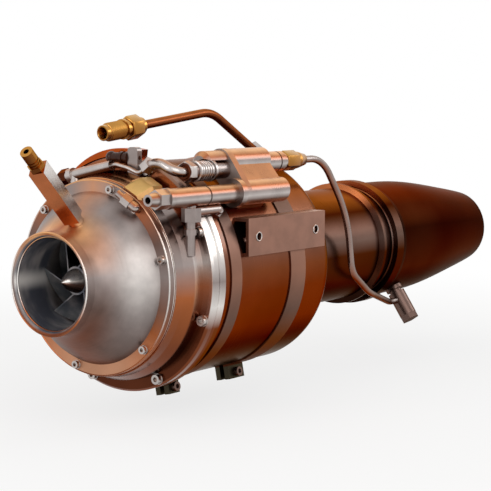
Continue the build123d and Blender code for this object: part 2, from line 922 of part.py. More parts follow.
def exhaust_nozzle():
    outside = Spline(*nozzle_line(0), tangents=[(1, 0, 0), (1, 0, -0.18)])
    inside = Spline(*reversed(nozzle_line(pipe_wall)), tangents=[(-1, 0, 0.18), (-1, 0, 0)])
    inner_front = pipe_r - pipe_wall
    lip = path((nozzle_exit_x, nozzle_exit_r), (nozzle_exit_x, nozzle_exit_r - pipe_wall))
    front = path(
        (nozzle_rib_x + 8, nozzle_front_r - pipe_wall),
        (joint_x, inner_front),
        (joint_x, joint_flange_r),
        (joint_x + joint_flange_t, joint_flange_r),
        (joint_x + joint_flange_t + 3, pipe_r + 1),
        (nozzle_rib_x - 4, pipe_r + 1.5),
        (nozzle_rib_x - 2, nozzle_front_r + 1.8),
        (nozzle_rib_x + 2, nozzle_front_r + 1.8),
        (nozzle_rib_x + 4, nozzle_front_r),
        (nozzle_rib_x + 8, nozzle_front_r),
    )
    nozzle = turned(outside, lip, inside, front)
    start = at_clock(reheat_x, nozzle_front_r - 5, reheat_clock)
    return nozzle - rod(start, radial(reheat_clock), reheat_stem_r + nest_gap, 12)


def joint_band():
    """Clamp band with a V section inside, split where its bolt closes it."""
    half = joint_band_width / 2
    gap = nest_gap
    band = turned_points(
        (joint_x - half, pipe_r + 2.2),
        (joint_x - half, joint_band_r),
        (joint_x + half, joint_band_r),
        (joint_x + half, pipe_r + 2.2),
        (joint_x + joint_flange_t + 1.8 + gap, pipe_r + 2.2),
        (joint_x + joint_flange_t + gap, joint_flange_r + gap),
        (joint_x - joint_flange_t - gap, joint_flange_r + gap),
        (joint_x - joint_flange_t - 1.8 - gap, pipe_r + 2.2),
    )
    lug = Pos(joint_x, 0, joint_band_r - 1) * Box(joint_band_width, 12, 10, align=BASE)
    band += clocked(lug, joint_clock)
    split = Pos(joint_x, 0, pipe_r) * Box(joint_band_width + 4, 3, 30, align=BASE)
    return band - clocked(split, joint_clock) - band_bolt_hole()


def band_bolt_hole():
    along = tangent(joint_clock)
    start = shifted(at_clock(joint_x, joint_band_r + 5, joint_clock), along, -12)
    return rod(start, along, pipe_screw_r + screw_gap, 24)


def joint_band_bolt():
    centre = at_clock(joint_x, joint_band_r + 5, joint_clock)
    along = tangent(joint_clock)
    back = tuple(-d for d in along)
    head = rod(shifted(centre, along, 6), along, 3.5, 4)
    shank = rod(shifted(centre, along, 6), back, pipe_screw_r, 16)
    nut = hexagon(shifted(centre, along, -6), back, 7, 3.2)
    return head + shank + nut


# Tail cone on struts inside the jet pipe
def tail_cone():
    start = tail_cone_x
    end = start + tail_cone_length
    nose = Spline(
        (start, 0, turbine_hub_r - 1),
        (start + 18, 0, turbine_hub_r - 3),
        (end, 0, 3),
        tangents=[(1, 0, 0), (1, 0, -0.6)],
    )
    dish = ((start + 14, 0), (start + 8, 12), (start, 20))
    base = path((end, 3), (end, 0), *dish, (start, turbine_hub_r - 1))
    cone = turned(nose, base) - disc(start - 1, start + 9, bearing_r)
    reach = pipe_r - pipe_wall - nest_gap
    root = turbine_hub_r - 8
    leg = Box(22, 2.0, reach - root + 1, align=AHEAD)
    strut = (Pos(rear_plate_x() + 10, 0, root) * leg) & disc(start, end, reach)
    for leg in around(strut, strut_count, 60):
        cone += leg
    return cone


# Straps: thin bands closed by a screw through two ears
def strap(x, width):
    band = ring(x, x + width, casing_r + nest_gap + strap_t, casing_r + nest_gap)
    inner = casing_r + nest_gap + 0.4
    side = ear_space / 2
    split = Pos(x + width / 2, 0, casing_r - 5) * Box(width + 2, ear_space, 30, align=BASE)
    low = (x, side - 1, inner)
    ear = box_between(low, (x + width, side + ear_t, inner + ear_height))
    pair = ear + box_between((x, -side - ear_t, inner), (x + width, 1 - side, inner + ear_height))
    band = band + clocked(pair, strap_clock) - clocked(split, strap_clock)
    return band - strap_screw_hole(x, width)


def strap_screw_start(x, width):
    centre = at_clock(x + width / 2, casing_r + ear_height * 0.6, strap_clock)
    return shifted(centre, tangent(strap_clock), -ear_space / 2 - ear_t)


def strap_screw_hole(x, width):
    start = shifted(strap_screw_start(x, width), tangent(strap_clock), -1)
    return rod(start, tangent(strap_clock), strap_screw_r + screw_gap, 2 * ear_t + ear_space + 2)


def strap_screws():
    screws = []
    for x, width in ((front_strap_x, front_strap_width), (rear_strap_x, rear_strap_width)):
        start = strap_screw_start(x, width)
        along = tangent(strap_clock)
        screws.append(socket_screw(start, along, strap_screw_r, 2 * ear_t + ear_space + 3))
    return screws


# Side rails: channels whose legs stand on the casing, notched over the rear strap
def side_rail(side):
    front = rail_x
    rear = rail_x + rail_length
    face = -rail_face_y
    rail = box_between((front, face, rail_low_z), (rear, face + rail_t, rail_high_z))
    for leg_z in (rail_low_z, rail_high_z - rail_t):
        reach = 6 - height_on(casing_r, leg_z)
        rail += box_between((front, face, leg_z), (rear, reach, leg_z + rail_t))
    rail -= disc(front - 1, rear + 1, casing_r)
    notch_rear = rear_strap_x + rear_strap_width + 0.5
    rail -= ring(rear_strap_x - 0.5, notch_rear, casing_r + strap_t + 0.6, casing_r - 5)
    middle = (rail_low_z + rail_high_z) / 2
    for x in rail_holes():
        rail -= rod((x, face - 1, middle), (0, 1, 0), rail_hole_r, rail_t + 2)
    return rail if side < 0 else mirror(rail, about=Plane.XZ)


def rail_holes():
    middle = rail_x + rail_length / 2
    return (middle - rail_hole_pitch / 2, middle + rail_hole_pitch / 2)


# Pieces around the top of the main flange
def top_saddle():
    """Cam-shaped plate clamped over the flange pair, thickest at its near end."""
    rise = 7.0
    shift = 20.5
    crest = at_clock(rim_front_x + 1, shift, 5)
    plate = rod(crest, FLOW, rim_r + rise - shift, rim_rear_x - rim_front_x - 2)
    plate -= disc(rim_front_x, rim_rear_x, rim_r + nest_gap)
    corners = [spot_yz(2 * rim_r, clock) for clock in (-37, -14, 9)]
    wedge = extrude(make_face(Polyline((0, 0), *corners, close=True)), 30)
    return plate & (section_at(rim_front_x - 5) * wedge)


def spot_yz(radius, clock):
    angle = math.radians(clock)
    return (-radius * math.sin(angle), radius * math.cos(angle))


def gallery_block():
    """Faceted pad on the housing: a ramp that faces the intake, with two sloping sides."""
    half = 7.5
    depth = 12.0
    front = cover_face_x + 1.5
    rear = rim_front_x - 5.2
    crown = housing_front_r + 9
    knee = front + 16.5
    rise = (knee - front, 0, crown - housing_front_r - 0.2)
    section = make_face(
        Polyline((-half, 0), (half, 0), (half + depth, -depth), (-half - depth, -depth), close=True)
    )
    ramp = Plane(origin=(front, 0, housing_front_r + 0.2), x_dir=(0, 1, 0), z_dir=rise)
    level = Plane(origin=(knee, 0, crown), x_dir=(0, 1, 0), z_dir=FLOW)
    block = ramp * extrude(section, Vector(*rise).length) + level * extrude(section, rear - knee)
    block = clocked(block, gallery_clock)
    flange = disc(cover_face_x - 5, cover_face_x + cover_flange_t + 1, cover_flange_r + nest_gap)
    return block - flange - housing_keep_out()


def housing_keep_out():
    front = cover_face_x + cover_flange_t
    return turned_points(
        (front - 1, 0),
        (front - 1, housing_front_r),
        (housing_step_x - 10, housing_front_r + 1.5),
        (housing_step_x, housing_step_r),
        (rim_front_x, housing_step_r + 1),
        (rim_front_x, 0),
    )


def bracket_top():
    return height_on(rim_r, sensor_y) + sensor_rise


def sensor_centre():
    return (rim_front_x - bracket_stand_off - bracket_depth / 2, sensor_y, bracket_top() - 9.5)


def sensor_bracket():
    """Block in front of the main flange, rounded along its top."""
    rear = rim_front_x - bracket_stand_off
    low = (rear - bracket_depth, sensor_y - bracket_width, housing_front_r - 5)
    block = box_between(low, (rear, sensor_y, bracket_top()))
    edges = block.edges().filter_by(Axis.X).group_by(Axis.Z)[-1]
    block = fillet(edges, 3.5)
    hole = rod(sensor_centre(), (0, -1, 0), sensor_stem_r + nest_gap, bracket_width)
    return block - housing_keep_out() - hole


def sensor_plug():
    """Black plug with a ball end, pushed into the side of the bracket."""
    centre = sensor_centre()
    along = (0, 1, 0)
    body = rod(centre, along, sensor_r, sensor_length - sensor_r)
    for step in (0.5, 7):
        body += rod(shifted(centre, along, step), along, sensor_r + 0.9, 3)
    body += Pos(*shifted(centre, along, sensor_length - sensor_r)) * Sphere(sensor_r + 1)
    return body + rod(centre, (0, -1, 0), sensor_stem_r, bracket_width)


# Fuel line across the top of the housing, from a capped arm to the valve block
def swept_rod(points, bends, radius):
    """Round bar along straight runs joined by arcs."""
    line = FilletPolyline(*points, radius=bends)
    return sweep(Plane(origin=points[0], z_dir=line % 0) * Circle(radius), path=line)


def swept_tube(points, bends, radius, bore):
    """Round tube along straight runs joined by arcs."""
    return swept_rod(points, bends, radius) - swept_rod(points, bends, bore)


def crossover_point(y, rise):
    """Point over the housing, by its height above the housing's front edge at the top."""
    return (crossover_x, y, housing_front_r + rise)


def crossover_pipe():
    """Thin tube from the arm, a nut, and a thick tube that bends into the coupling."""
    bends = [10, 30, 8]
    cap_end, arm_start = crossover_arm()
    out = direction_between(cap_end, arm_start)
    thin = [
        shifted(arm_start, out, -6),
        shifted(arm_start, out, 5),
        crossover_point(-22, 8.3),
        crossover_point(-35, 3.6),
        crossover_point(-46, 11.6),
    ]
    corner = (crossover_x, coupling_y, coupling_z)
    thick = [
        crossover_point(-44, 11),
        crossover_point(-58, 14.5),
        corner,
        (coupling_front_x + 7.5, coupling_y, coupling_z),
    ]
    thick_bends = [20, 9]
    along = direction_between(thin[-2], thin[-1])
    nut = hexagon(shifted(thin[-1], along, -5), along, 12, 8)
    pipe = swept_rod(thin, bends, crossover_thin_r) + swept_rod(thick, thick_bends, crossover_r) + nut
    pipe -= swept_rod(thin, bends, crossover_thin_r - 0.8)
    return pipe - swept_rod(thick, thick_bends, crossover_r - 1.2)


def crossover_arm():
    """The two ends of the arm, the capped one first."""
    return crossover_point(crossover_cap_y, -0.5), crossover_point(crossover_arm_y, 10.0)


def crossover_union():
    """Arm that stands on the housing, with the cap at one end and the thin tube in the other."""
    end, start = crossover_arm()
    along = direction_between(start, end)
    back = tuple(-d for d in along)
    length = math.dist(start, end)
    body = rod(shifted(end, along, -3), along, 6.6, 6) + rod(end, back, crossover_arm_r, length)
    body += rod((crossover_x, crossover_cap_y - 6, housing_front_r - 20), (0, 0.1, 1), crossover_arm_r, 20)
    body -= housing_keep_out()
    body -= rod(shifted(start, back, 1), along, crossover_thin_r + nest_gap, 9)
    return body - rod(shifted(end, along, -1), along, cap_stem_r + nest_gap, 5)


def crossover_cap():
    end, start = crossover_arm()
    along = direction_between(start, end)
    seat = shifted(end, along, 3)
    back = tuple(-d for d in along)
    cap = hexagon(seat, along, 13, 8.5) + rod(shifted(seat, along, 8.5), along, 5.4, 2.5)
    return cap + rod(seat, back, cap_stem_r, 3)


def turned_on(y, z, *points):
    """Piece turned about a line parallel to the rotor axis."""
    return Pos(0, y, z) * turned_points(*points)


def fuel_coupling():
    """Swivel coupling with a ribbed thread, screwed to the valve plate."""
    x = coupling_front_x
    r = coupling_r
    outline = [(x, 0), (x, 6.5), (x + 4, 7.8), (x + 14, 7.8), (x + 14, r)]
    for i in range(5):
        start = x + 16 + 3 * i
        outline += [(start, r), (start, r - 1.2), (start + 1.4, r - 1.2), (start + 1.4, r)]
    rear = valve_plate_x
    outline += [(x + 34, r), (x + 34, r + 1.2), (x + 37, r + 1.2), (x + 37, r - 0.8)]
    outline += [(rear, r - 0.8), (rear, 0)]
    body = turned_on(coupling_y, coupling_z, *outline)
    axis_start = (x - 1, coupling_y, coupling_z)
    body -= rod(axis_start, FLOW, crossover_r + nest_gap, 9)
    nut = hexagon((x + 1, coupling_y, coupling_z), FLOW, 17, 9)
    nut -= rod(axis_start, FLOW, crossover_r + nest_gap, 12)
    return body + nut - rod(axis_start, FLOW, crossover_r - 1.2, rear - x + 2)


# Fuel valve block: front plate and two barrels joined by a web
def section_at(x):
    """Sketch plane across the engine at a station."""
    return Plane(origin=(x, 0, 0), x_dir=(0, 1, 0), z_dir=FLOW)


def valve_plate():
    outline = Sketch()
    for y, z, r in (
        (valve_y, valve_z, barrel_r),
        (coupling_y, coupling_z, coupling_r + 3.2),
        (filter_y, filter_z, filter_r + 3),
    ):
        outline += Pos(y, z) * Circle(r)
    plate = section_at(valve_plate_x) * extrude(make_hull(outline.edges()), valve_plate_t)
    front = valve_plate_x - valve_cap_length
    r = barrel_r - 1.5
    rear = valve_plate_x + 1
    cap = turned_on(valve_y, valve_z, (front, 0), (front, r - 4), (front + 4, r), (rear, r), (rear, 0))
    cap -= rod((front - 1, coupling_y, coupling_z), FLOW, coupling_r + 1.5, valve_cap_length + 1)
    plate += cap
    for y, z in ((filter_y, filter_z), (coupling_y, coupling_z)):
        plate -= rod((valve_plate_x - 1, y, z), FLOW, passage_r, valve_plate_t + 2)
    return plate


def valve_body():
    front = valve_front_x
    rear = valve_rear_x
    r = barrel_r - 0.5
    main = turned_on(valve_y, valve_z, (front, 0), (front, r), (rear - 1, r), (rear, r - 1), (rear, 0))
    end = rear + 4
    start = turned_on(filter_y, filter_z, (front, 0), (front, r), (end - 2, r), (end, r - 2), (end, 0))
    web = Polyline(
        (valve_y - 9, valve_z),
        (valve_y + 6, valve_z - 4),
        (filter_y + 9, filter_z + 4),
        (filter_y - 6, filter_z + 6),
        close=True,
    )
    return main + start + section_at(front + 2) * extrude(make_face(web), rear - front - 4)


def valve_block():
    block = valve_body() - rod((valve_front_x - 1, valve_y, valve_z), FLOW, passage_r, valve_length + 2)
    return block - rod((valve_front_x - 1, filter_y, filter_z), FLOW, passage_r, valve_length - 10)


def valve_bracket():
    """Rib on a curved foot that carries the valve block on the casing."""
    front = valve_front_x + 6
    length = 36
    foot = ring(front, front + length, casing_r + 2.5, casing_r)
    wedge = Pos(front - 1, 0, casing_r - 4) * Box(length + 2, 44, 10, align=AHEAD)
    rib = Pos(front, 0, casing_r + 1) * Box(length, 8, valve_rise + 1, align=AHEAD)
    return clocked((foot & wedge) + rib, valve_bracket_clock) - valve_body()


def valve_outlet():
    """Outlet stub of the main valve, with a shoulder for its nut."""
    x = valve_rear_x
    r = outlet_stub_r
    rear = outlet_rear_x
    nose_r = feed_tube_r + 1.5
    outline = [(x, 0), (x, r), (rear - 13, r), (rear - 13, r - 1), (rear - 11, r - 1), (rear - 11, r)]
    outline += [(rear - 4, r), (rear - 4, r - 1.5), (rear, r - 1.5), (rear, nose_r)]
    outline += [(rear + 12, nose_r), (rear + 12, 0)]
    body = turned_on(valve_y, outlet_z, *outline)
    return body - rod((x - 1, valve_y, outlet_z), FLOW, feed_tube_r - feed_tube_wall, rear + 14 - x)


def feed_nut():
    """Brass nut that holds the feed tube on the valve outlet."""
    x = outlet_rear_x + 0.5
    rear = x + feed_nut_length
    nut = hexagon((x, valve_y, outlet_z), FLOW, 17, 20)
    nut += turned_on(valve_y, outlet_z, (x + 20, 0), (x + 20, 8.4), (rear, 5.6), (rear, 0))
    nut -= rod((x - 1, valve_y, outlet_z), FLOW, feed_tube_r + 1.5 + nest_gap, 13)
    return nut - rod((x - 1, valve_y, outlet_z), FLOW, feed_tube_r + nest_gap, feed_nut_length + 5)


def feed_tube():
    """Steel tube from the valve down the near side of the jet pipe to the reheat fitting."""
    end = at_clock(reheat_x - reheat_r, nozzle_front_r + feed_entry, reheat_clock)
    points = [(outlet_rear_x + 12, valve_y, outlet_z)]
    for x, y, z in feed_route:
        points.append((outlet_rear_x + x, valve_y + y, outlet_z + z))
    points += [shifted(end, FLOW, -14), end]
    return swept_tube(points, list(feed_bends), feed_tube_r, feed_tube_r - feed_tube_wall)


# Reheat fuel fitting that enters the nozzle from below
def reheat_fitting():
    outward = radial(reheat_clock)
    seat = at_clock(reheat_x, nozzle_front_r - 1, reheat_clock)
    body = rod(at_clock(reheat_x, nozzle_front_r + 7, reheat_clock), outward, reheat_r, reheat_length - 13)
    cap_seat = at_clock(reheat_x, nozzle_front_r + reheat_length - 6, reheat_clock)
    body += hexagon(cap_seat, outward, 2 * reheat_r - 0.6, 6)
    neck = rod(seat, outward, reheat_r - 2.5, 10)
    boss = rod(seat, outward, reheat_r + 0.3, 5)
    shell = body + neck + boss - disc(reheat_x - 20, reheat_x + 20, nozzle_front_r + 0.3)
    stem = rod(at_clock(reheat_x, nozzle_front_r - 24, reheat_clock), outward, reheat_stem_r, 30)
    fitting = shell + stem
    entry = at_clock(reheat_x - reheat_r - 5, nozzle_front_r + feed_entry, reheat_clock)
    return fitting - rod(entry, FLOW, feed_tube_r + nest_gap, 9)


# Supply line: flare fitting, tube and the elbow on the casing
def supply_points():
    crown = height_on(casing_r, supply_y)
    return [(x, supply_y, crown + rise) for x, rise in (supply_start, supply_top, supply_foot)]


def supply_tube():
    return swept_tube(supply_points(), [45], tube_r, tube_r - 1)


def supply_direction():
    start, top, _ = supply_points()
    return tuple((Vector(*start) - Vector(*top)).normalized())


def supply_fitting():
    """Brass union with an outside thread and a flare seat in its mouth."""
    start = supply_points()[0]
    out = supply_direction()
    seat = shifted(start, out, 6)
    body = rod(seat, out, 8.2, 26) + rod(shifted(seat, out, 3), out, 9.2, 3)
    for i in range(6):
        at = shifted(seat, out, 9 + 3.6 * i)
        body -= rod(at, out, 12, 1.5) - rod(at, out, 7.4, 1.5)
    body += rod(shifted(seat, out, 26), out, 6.8, 5)
    body -= rod(shifted(seat, out, -1), out, 2.5, 40)
    mouth = Plane(origin=shifted(seat, out, 25), z_dir=out) * Cone(2.5, 5.4, 6.2, align=BASE)
    return body - mouth


def supply_nut():
    start = supply_points()[0]
    out = supply_direction()
    back = tuple(-d for d in out)
    nut = hexagon(shifted(start, out, 6), back, 19, 15)
    nut += rod(shifted(start, out, -9), back, 7.6, 5)
    return nut - rod(shifted(start, out, 8), back, tube_r + nest_gap, 30)


def supply_elbow():
    """Elbow welded to the casing where the supply tube enters."""
    _, top, foot = supply_points()
    down = tuple((Vector(*foot) - Vector(*top)).normalized())
    back = tuple(-d for d in down)
    nut = hexagon(shifted(foot, down, -4), down, 15, 10)
    body = rod(shifted(foot, down, 5), down, 6.5, 8)
    post = rod((foot[0] + 6, supply_y, foot[2] - 27), (0, 0, 1), 8, 24)
    elbow = nut + body + post - disc(foot[0] - 30, foot[0] + 30, casing_r)
    return elbow - rod(shifted(foot, down, 0.1), back, tube_r + nest_gap, 20)


# Filter ahead of the start valve, with its drain elbow below
def filter_body():
    front = filter_front_x + filter_inlet_length
    r = filter_r
    rear = valve_plate_x
    seam = front + 48
    outline = [(front, 0), (front, r - 1), (front + 1, r), (seam, r), (seam, r - 1), (seam + 2, r - 1)]
    outline += [(seam + 2, r), (rear - 7, r), (rear - 7, r + 4.5), (rear, r + 4.5), (rear, 0)]
    chamber = rod((front - 1, filter_y, filter_z), FLOW, filter_r - 3, rear - front - 7)
    outlet = rod((front - 1, filter_y, filter_z), FLOW, passage_r - 1, rear - front + 2)
    return turned_on(filter_y, filter_z, *outline) - chamber - outlet


def filter_inlet():
    """Hexagonal inlet adaptor with an open hose end."""
    x = filter_front_x
    rear = filter_front_x + filter_inlet_length
    adaptor = hexagon((x + 9, filter_y, filter_z), FLOW, 15, 12)
    adaptor += turned_on(filter_y, filter_z, (x, 0), (x, 5), (x + 9, 6.3), (x + 9, 0))
    r = filter_r + 0.7
    adaptor += turned_on(filter_y, filter_z, (x + 21, 0), (x + 21, r), (rear, r), (rear, 0))
    return adaptor - rod((x - 1, filter_y, filter_z), FLOW, passage_r, rear - x + 2)


def drain_elbow():
    """Drain fittings below the filter: a nut on a post, and a pipe to a foot on the casing."""
    pipe_z = filter_z - filter_r - drain_r - 0.3
    up = (0, 0, 1)
    nut = hexagon((drain_nut_x, filter_y, pipe_z - 8.5), up, 15, 12)
    neck = rod((drain_nut_x, filter_y, pipe_z), up, drain_r, 10)
    post = rod((drain_nut_x, filter_y + 1, pipe_z - 38), up, drain_r, 36)
    collar = rod((drain_nut_x, filter_y + 1, pipe_z - 20), up, drain_r + 1.2, 5)
    pipe = rod((drain_nut_x, filter_y, pipe_z), FLOW, drain_r, drain_foot_x - drain_nut_x)
    clock = math.degrees(math.atan2(-filter_y, pipe_z))
    foot = at_clock(drain_foot_x, casing_r - 2, clock)
    leg = rod(foot, radial(clock), drain_r + 0.6, math.hypot(filter_y, pipe_z) - casing_r + 4)
    leg += hexagon(shifted(foot, radial(clock), 5), radial(clock), 11.5, 4)
    fitting = nut + neck + post + collar + pipe + leg
    fitting -= rod((drain_nut_x - 20, filter_y, filter_z), FLOW, filter_r + nest_gap, 80)
    fitting -= disc(rim_front_x, rim_rear_x, rim_r + nest_gap)
    return fitting - disc(rim_rear_x, drain_foot_x + 20, casing_r) - housing_keep_out()


def rotor_nodes():
    return {
        "impeller": impeller(),
        "spinner_nut": spinner_nut(),
        "rotor_shaft": rotor_shaft(),
        "front_spacer": front_spacer(),
        "rear_spacer": rear_spacer(),
        "front_inner_race": inner_race(front_bearing_x),
        "rear_inner_race": inner_race(rear_bearing_x),
        "turbine_wheel": turbine_wheel(),
        "turbine_nut": turbine_nut(),
    }


def bearing_nodes():
    nodes = {"bearing_balls": balls(front_bearing_x) + balls(rear_bearing_x)}
    for name, x in (("front", front_bearing_x), ("rear", rear_bearing_x)):
        nodes[name + "_outer_race"] = outer_race(x)
        nodes[name + "_cage"] = cage(x)
    return nodes


def engine_nodes():
    return {
        "intake_cover": intake_cover(),
        "cover_screws": cover_screws(),
        "front_housing": front_housing(),
        "main_flange_screws": main_flange_screws(),
        "diffuser": diffuser(),
        "shaft_tunnel": shaft_tunnel(),
        "combustor_casing": combustor_casing(),
        "combustor_liner": combustor_liner(),
        "fuel_ring": fuel_ring(),
        "guide_vanes": guide_vanes(),
        "tail_cone": tail_cone(),
        "jet_pipe": jet_pipe(),
        "jet_pipe_screws": jet_pipe_screws(),
        "joint_band": joint_band(),
        "joint_band_bolt": joint_band_bolt(),
        "exhaust_nozzle": exhaust_nozzle(),
        "front_strap": strap(front_strap_x, front_strap_width),
        "rear_strap": strap(rear_strap_x, rear_strap_width),
        "strap_screws": strap_screws(),
        "near_rail": side_rail(-1),
        "far_rail": side_rail(1),
    }


def fitting_nodes():
    return {
        "start_air_jet": start_air_jet(),
        "start_air_nipple": start_air_nipple(),
        "pressure_tap": pressure_tap(),
        "top_saddle": top_saddle(),
        "gallery_block": gallery_block(),
        "sensor_bracket": sensor_bracket(),
        "sensor_plug": sensor_plug(),
        "crossover_pipe": crossover_pipe(),
        "crossover_union": crossover_union(),
        "crossover_cap": crossover_cap(),
        "fuel_coupling": fuel_coupling(),
        "valve_plate": valve_plate(),
        "valve_block": valve_block(),
        "valve_bracket": valve_bracket(),
        "valve_outlet": valve_outlet(),
        "feed_nut": feed_nut(),
        "feed_tube": feed_tube(),
        "reheat_fitting": reheat_fitting(),
        "supply_fitting": supply_fitting(),
        "supply_nut": supply_nut(),
        "supply_tube": supply_tube(),
        "supply_elbow": supply_elbow(),
        "filter_body": filter_body(),
        "filter_inlet": filter_inlet(),
        "drain_elbow": drain_elbow(),
    }

os.makedirs("parts", exist_ok=True)
for group in (engine_nodes, rotor_nodes, bearing_nodes, fitting_nodes):
    for node, shape in group().items():
        pieces = shape if isinstance(shape, list) else [shape]
        solids = [solid for piece in pieces for solid in piece.solids()]
        export_step(Compound(children=solids), "parts/" + node + ".step")
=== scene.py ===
import math

import bpy
from bpy.props import FloatProperty, FloatVectorProperty, PointerProperty
from bpy.types import Operator, Panel, PropertyGroup
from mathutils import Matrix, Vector


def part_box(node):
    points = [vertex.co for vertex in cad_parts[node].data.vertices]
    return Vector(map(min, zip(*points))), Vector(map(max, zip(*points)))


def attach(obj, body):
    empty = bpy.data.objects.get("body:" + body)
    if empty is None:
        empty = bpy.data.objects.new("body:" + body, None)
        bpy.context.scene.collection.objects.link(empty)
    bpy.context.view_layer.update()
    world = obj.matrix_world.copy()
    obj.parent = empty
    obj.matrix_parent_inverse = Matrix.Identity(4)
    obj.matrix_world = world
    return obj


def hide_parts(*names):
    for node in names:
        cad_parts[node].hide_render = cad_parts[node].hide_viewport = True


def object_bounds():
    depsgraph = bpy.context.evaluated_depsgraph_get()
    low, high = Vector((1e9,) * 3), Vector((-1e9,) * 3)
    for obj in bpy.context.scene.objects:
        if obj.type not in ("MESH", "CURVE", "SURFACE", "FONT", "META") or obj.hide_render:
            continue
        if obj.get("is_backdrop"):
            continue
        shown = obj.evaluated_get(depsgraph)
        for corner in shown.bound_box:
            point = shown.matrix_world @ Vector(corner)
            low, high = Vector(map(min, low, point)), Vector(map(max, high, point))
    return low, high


bl_info = {
    "name": "Turbojet Dressing",
    "version": (1, 0, 0),
    "blender": (4, 5, 0),
    "location": "View3D > Sidebar > Turbojet",
    "description": "Finishes, small pieces and studio for a small turbojet engine",
    "category": "Object",
}

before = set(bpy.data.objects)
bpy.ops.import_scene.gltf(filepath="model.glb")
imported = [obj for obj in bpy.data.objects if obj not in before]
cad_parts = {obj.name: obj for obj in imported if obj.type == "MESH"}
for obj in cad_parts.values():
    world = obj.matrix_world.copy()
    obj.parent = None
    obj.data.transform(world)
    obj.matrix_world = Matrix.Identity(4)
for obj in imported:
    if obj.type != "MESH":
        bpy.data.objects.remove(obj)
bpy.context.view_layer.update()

MM = 0.001
FULL_TURN = 2 * math.pi
ORIGIN = (0.0, 0.0, 0.0)
# Along the rotor, towards the nozzle, and across it
ALONG = (1.0, 0.0, 0.0)
ACROSS = (0.0, 1.0, 0.0)
# Edges that turn by more than this stay crisp
SHARP = math.radians(35)

# Finish colours as they look on a screen, 0 to 255
COLOURS = {
    "polish": (235, 230, 225),
    "silver": (190, 182, 178),
    "steel": (150, 138, 134),
    "pewter": (110, 88, 80),
    "rose": (190, 140, 110),
    "fawn": (145, 106, 90),
    "straw": (235, 175, 120),
    "copper": (170, 98, 58),
    "bronze": (120, 65, 40),
    "russet": (120, 50, 24),
    "umber": (75, 37, 22),
    "soot": (40, 20, 13),
    "gold": (240, 195, 120),
    "brass": (195, 140, 70),
    "old_brass": (135, 82, 34),
    "orange": (205, 92, 30),
    "slate": (110, 114, 118),
    "ink": (76, 78, 88),
    "olive": (64, 58, 46),
}

# Painted reflections, highlights and shade: where each finish's colour changes, by the angle in
# degrees from straight up
NECK = (
    (0, "copper"), (20, "straw"), (45, "rose"), (80, "steel"), (115, "pewter"),
    (160, "bronze"),
)
DOME = (
    (0, "rose"), (22, "steel"), (60, "steel"), (90, "silver"), (120, "steel"),
    (155, "pewter"), (180, "bronze"),
)
FLANGE = (
    (0, "rose"), (20, "steel"), (35, "copper"), (65, "pewter"), (85, "steel"),
    (105, "fawn"), (122, "copper"), (160, "rose"),
)
HOUSING = (
    (0, "copper"), (25, "straw"), (45, "steel"), (62, "pewter"), (80, "steel"),
    (98, "copper"), (130, "bronze"),
)
STEP = (
    (0, "copper"), (60, "bronze"), (80, "silver"), (92, "rose"), (110, "bronze"),
    (130, "umber"),
)
# Highlights painted on the rim at 72 and 102 degrees
RIM = (
    (0, "rose"), (50, "pewter"), (72, "polish"), (84, "silver"), (90, "steel"),
    (102, "polish"), (113, "bronze"),
)
DRUM = (
    (0, "copper"), (30, "bronze"), (45, "copper"), (68, "pewter"), (88, "bronze"),
    (100, "russet"), (118, "russet"), (130, "umber"), (155, "soot"),
)
STRAP = (
    (0, "rose"), (60, "pewter"), (90, "fawn"), (112, "pewter"), (135, "bronze"),
    (160, "umber"),
)
PIPE = (
    (0, "copper"), (30, "copper"), (50, "umber"), (80, "pewter"), (94, "umber"),
    (118, "umber"), (135, "soot"),
)
NOZZLE = (
    (0, "bronze"), (25, "russet"), (50, "umber"), (75, "soot"), (115, "umber"),
    (135, "soot"),
)
SPINNER = ((0, "steel"), (45, "silver"), (80, "polish"), (105, "fawn"), (140, "soot"))
VALVE = (
    (0, "straw"), (35, "straw"), (60, "copper"), (85, "steel"), (102, "silver"),
    (125, "pewter"), (150, "copper"),
)
BRIGHT = (
    (0, "straw"), (35, "rose"), (60, "silver"), (92, "silver"), (115, "pewter"),
    (150, "umber"),
)
DULL = ((0, "fawn"), (35, "steel"), (60, "pewter"), (100, "pewter"), (125, "umber"), (150, "soot"))
BRASS = ((0, "gold"), (40, "brass"), (75, "brass"), (105, "old_brass"), (145, "umber"))
TUBE = ((0, "rose"), (40, "silver"), (90, "steel"), (115, "fawn"), (140, "russet"), (170, "umber"))
WARM_TUBE = ((0, "straw"), (35, "copper"), (90, "bronze"), (150, "umber"))
RAIL = ((0, "rose"), (60, "fawn"), (90, "fawn"), (140, "bronze"))
SCREW = ((0, "polish"), (45, "rose"), (80, "silver"), (100, "silver"), (140, "umber"))
SADDLE = ((0, "orange"), (60, "orange"), (120, "russet"))
PAD = ((0, "gold"), (60, "gold"), (95, "straw"), (150, "copper"))
CAP = ((0, "copper"), (45, "russet"), (90, "umber"), (150, "soot"))
EDGE = (
    (0, "straw"), (45, "rose"), (75, "polish"), (100, "polish"), (130, "copper"),
    (170, "bronze"),
)
PLAIN = ((0, "silver"), (90, "steel"), (180, "slate"))
HOT = ((0, "pewter"), (90, "bronze"), (180, "umber"))

WHITE = (1.0, 1.0, 1.0, 1.0)
# Light at the edge of a dark metal, which keeps its own warm colour there
WARM_EDGE = (0.5, 0.4, 0.34, 1.0)

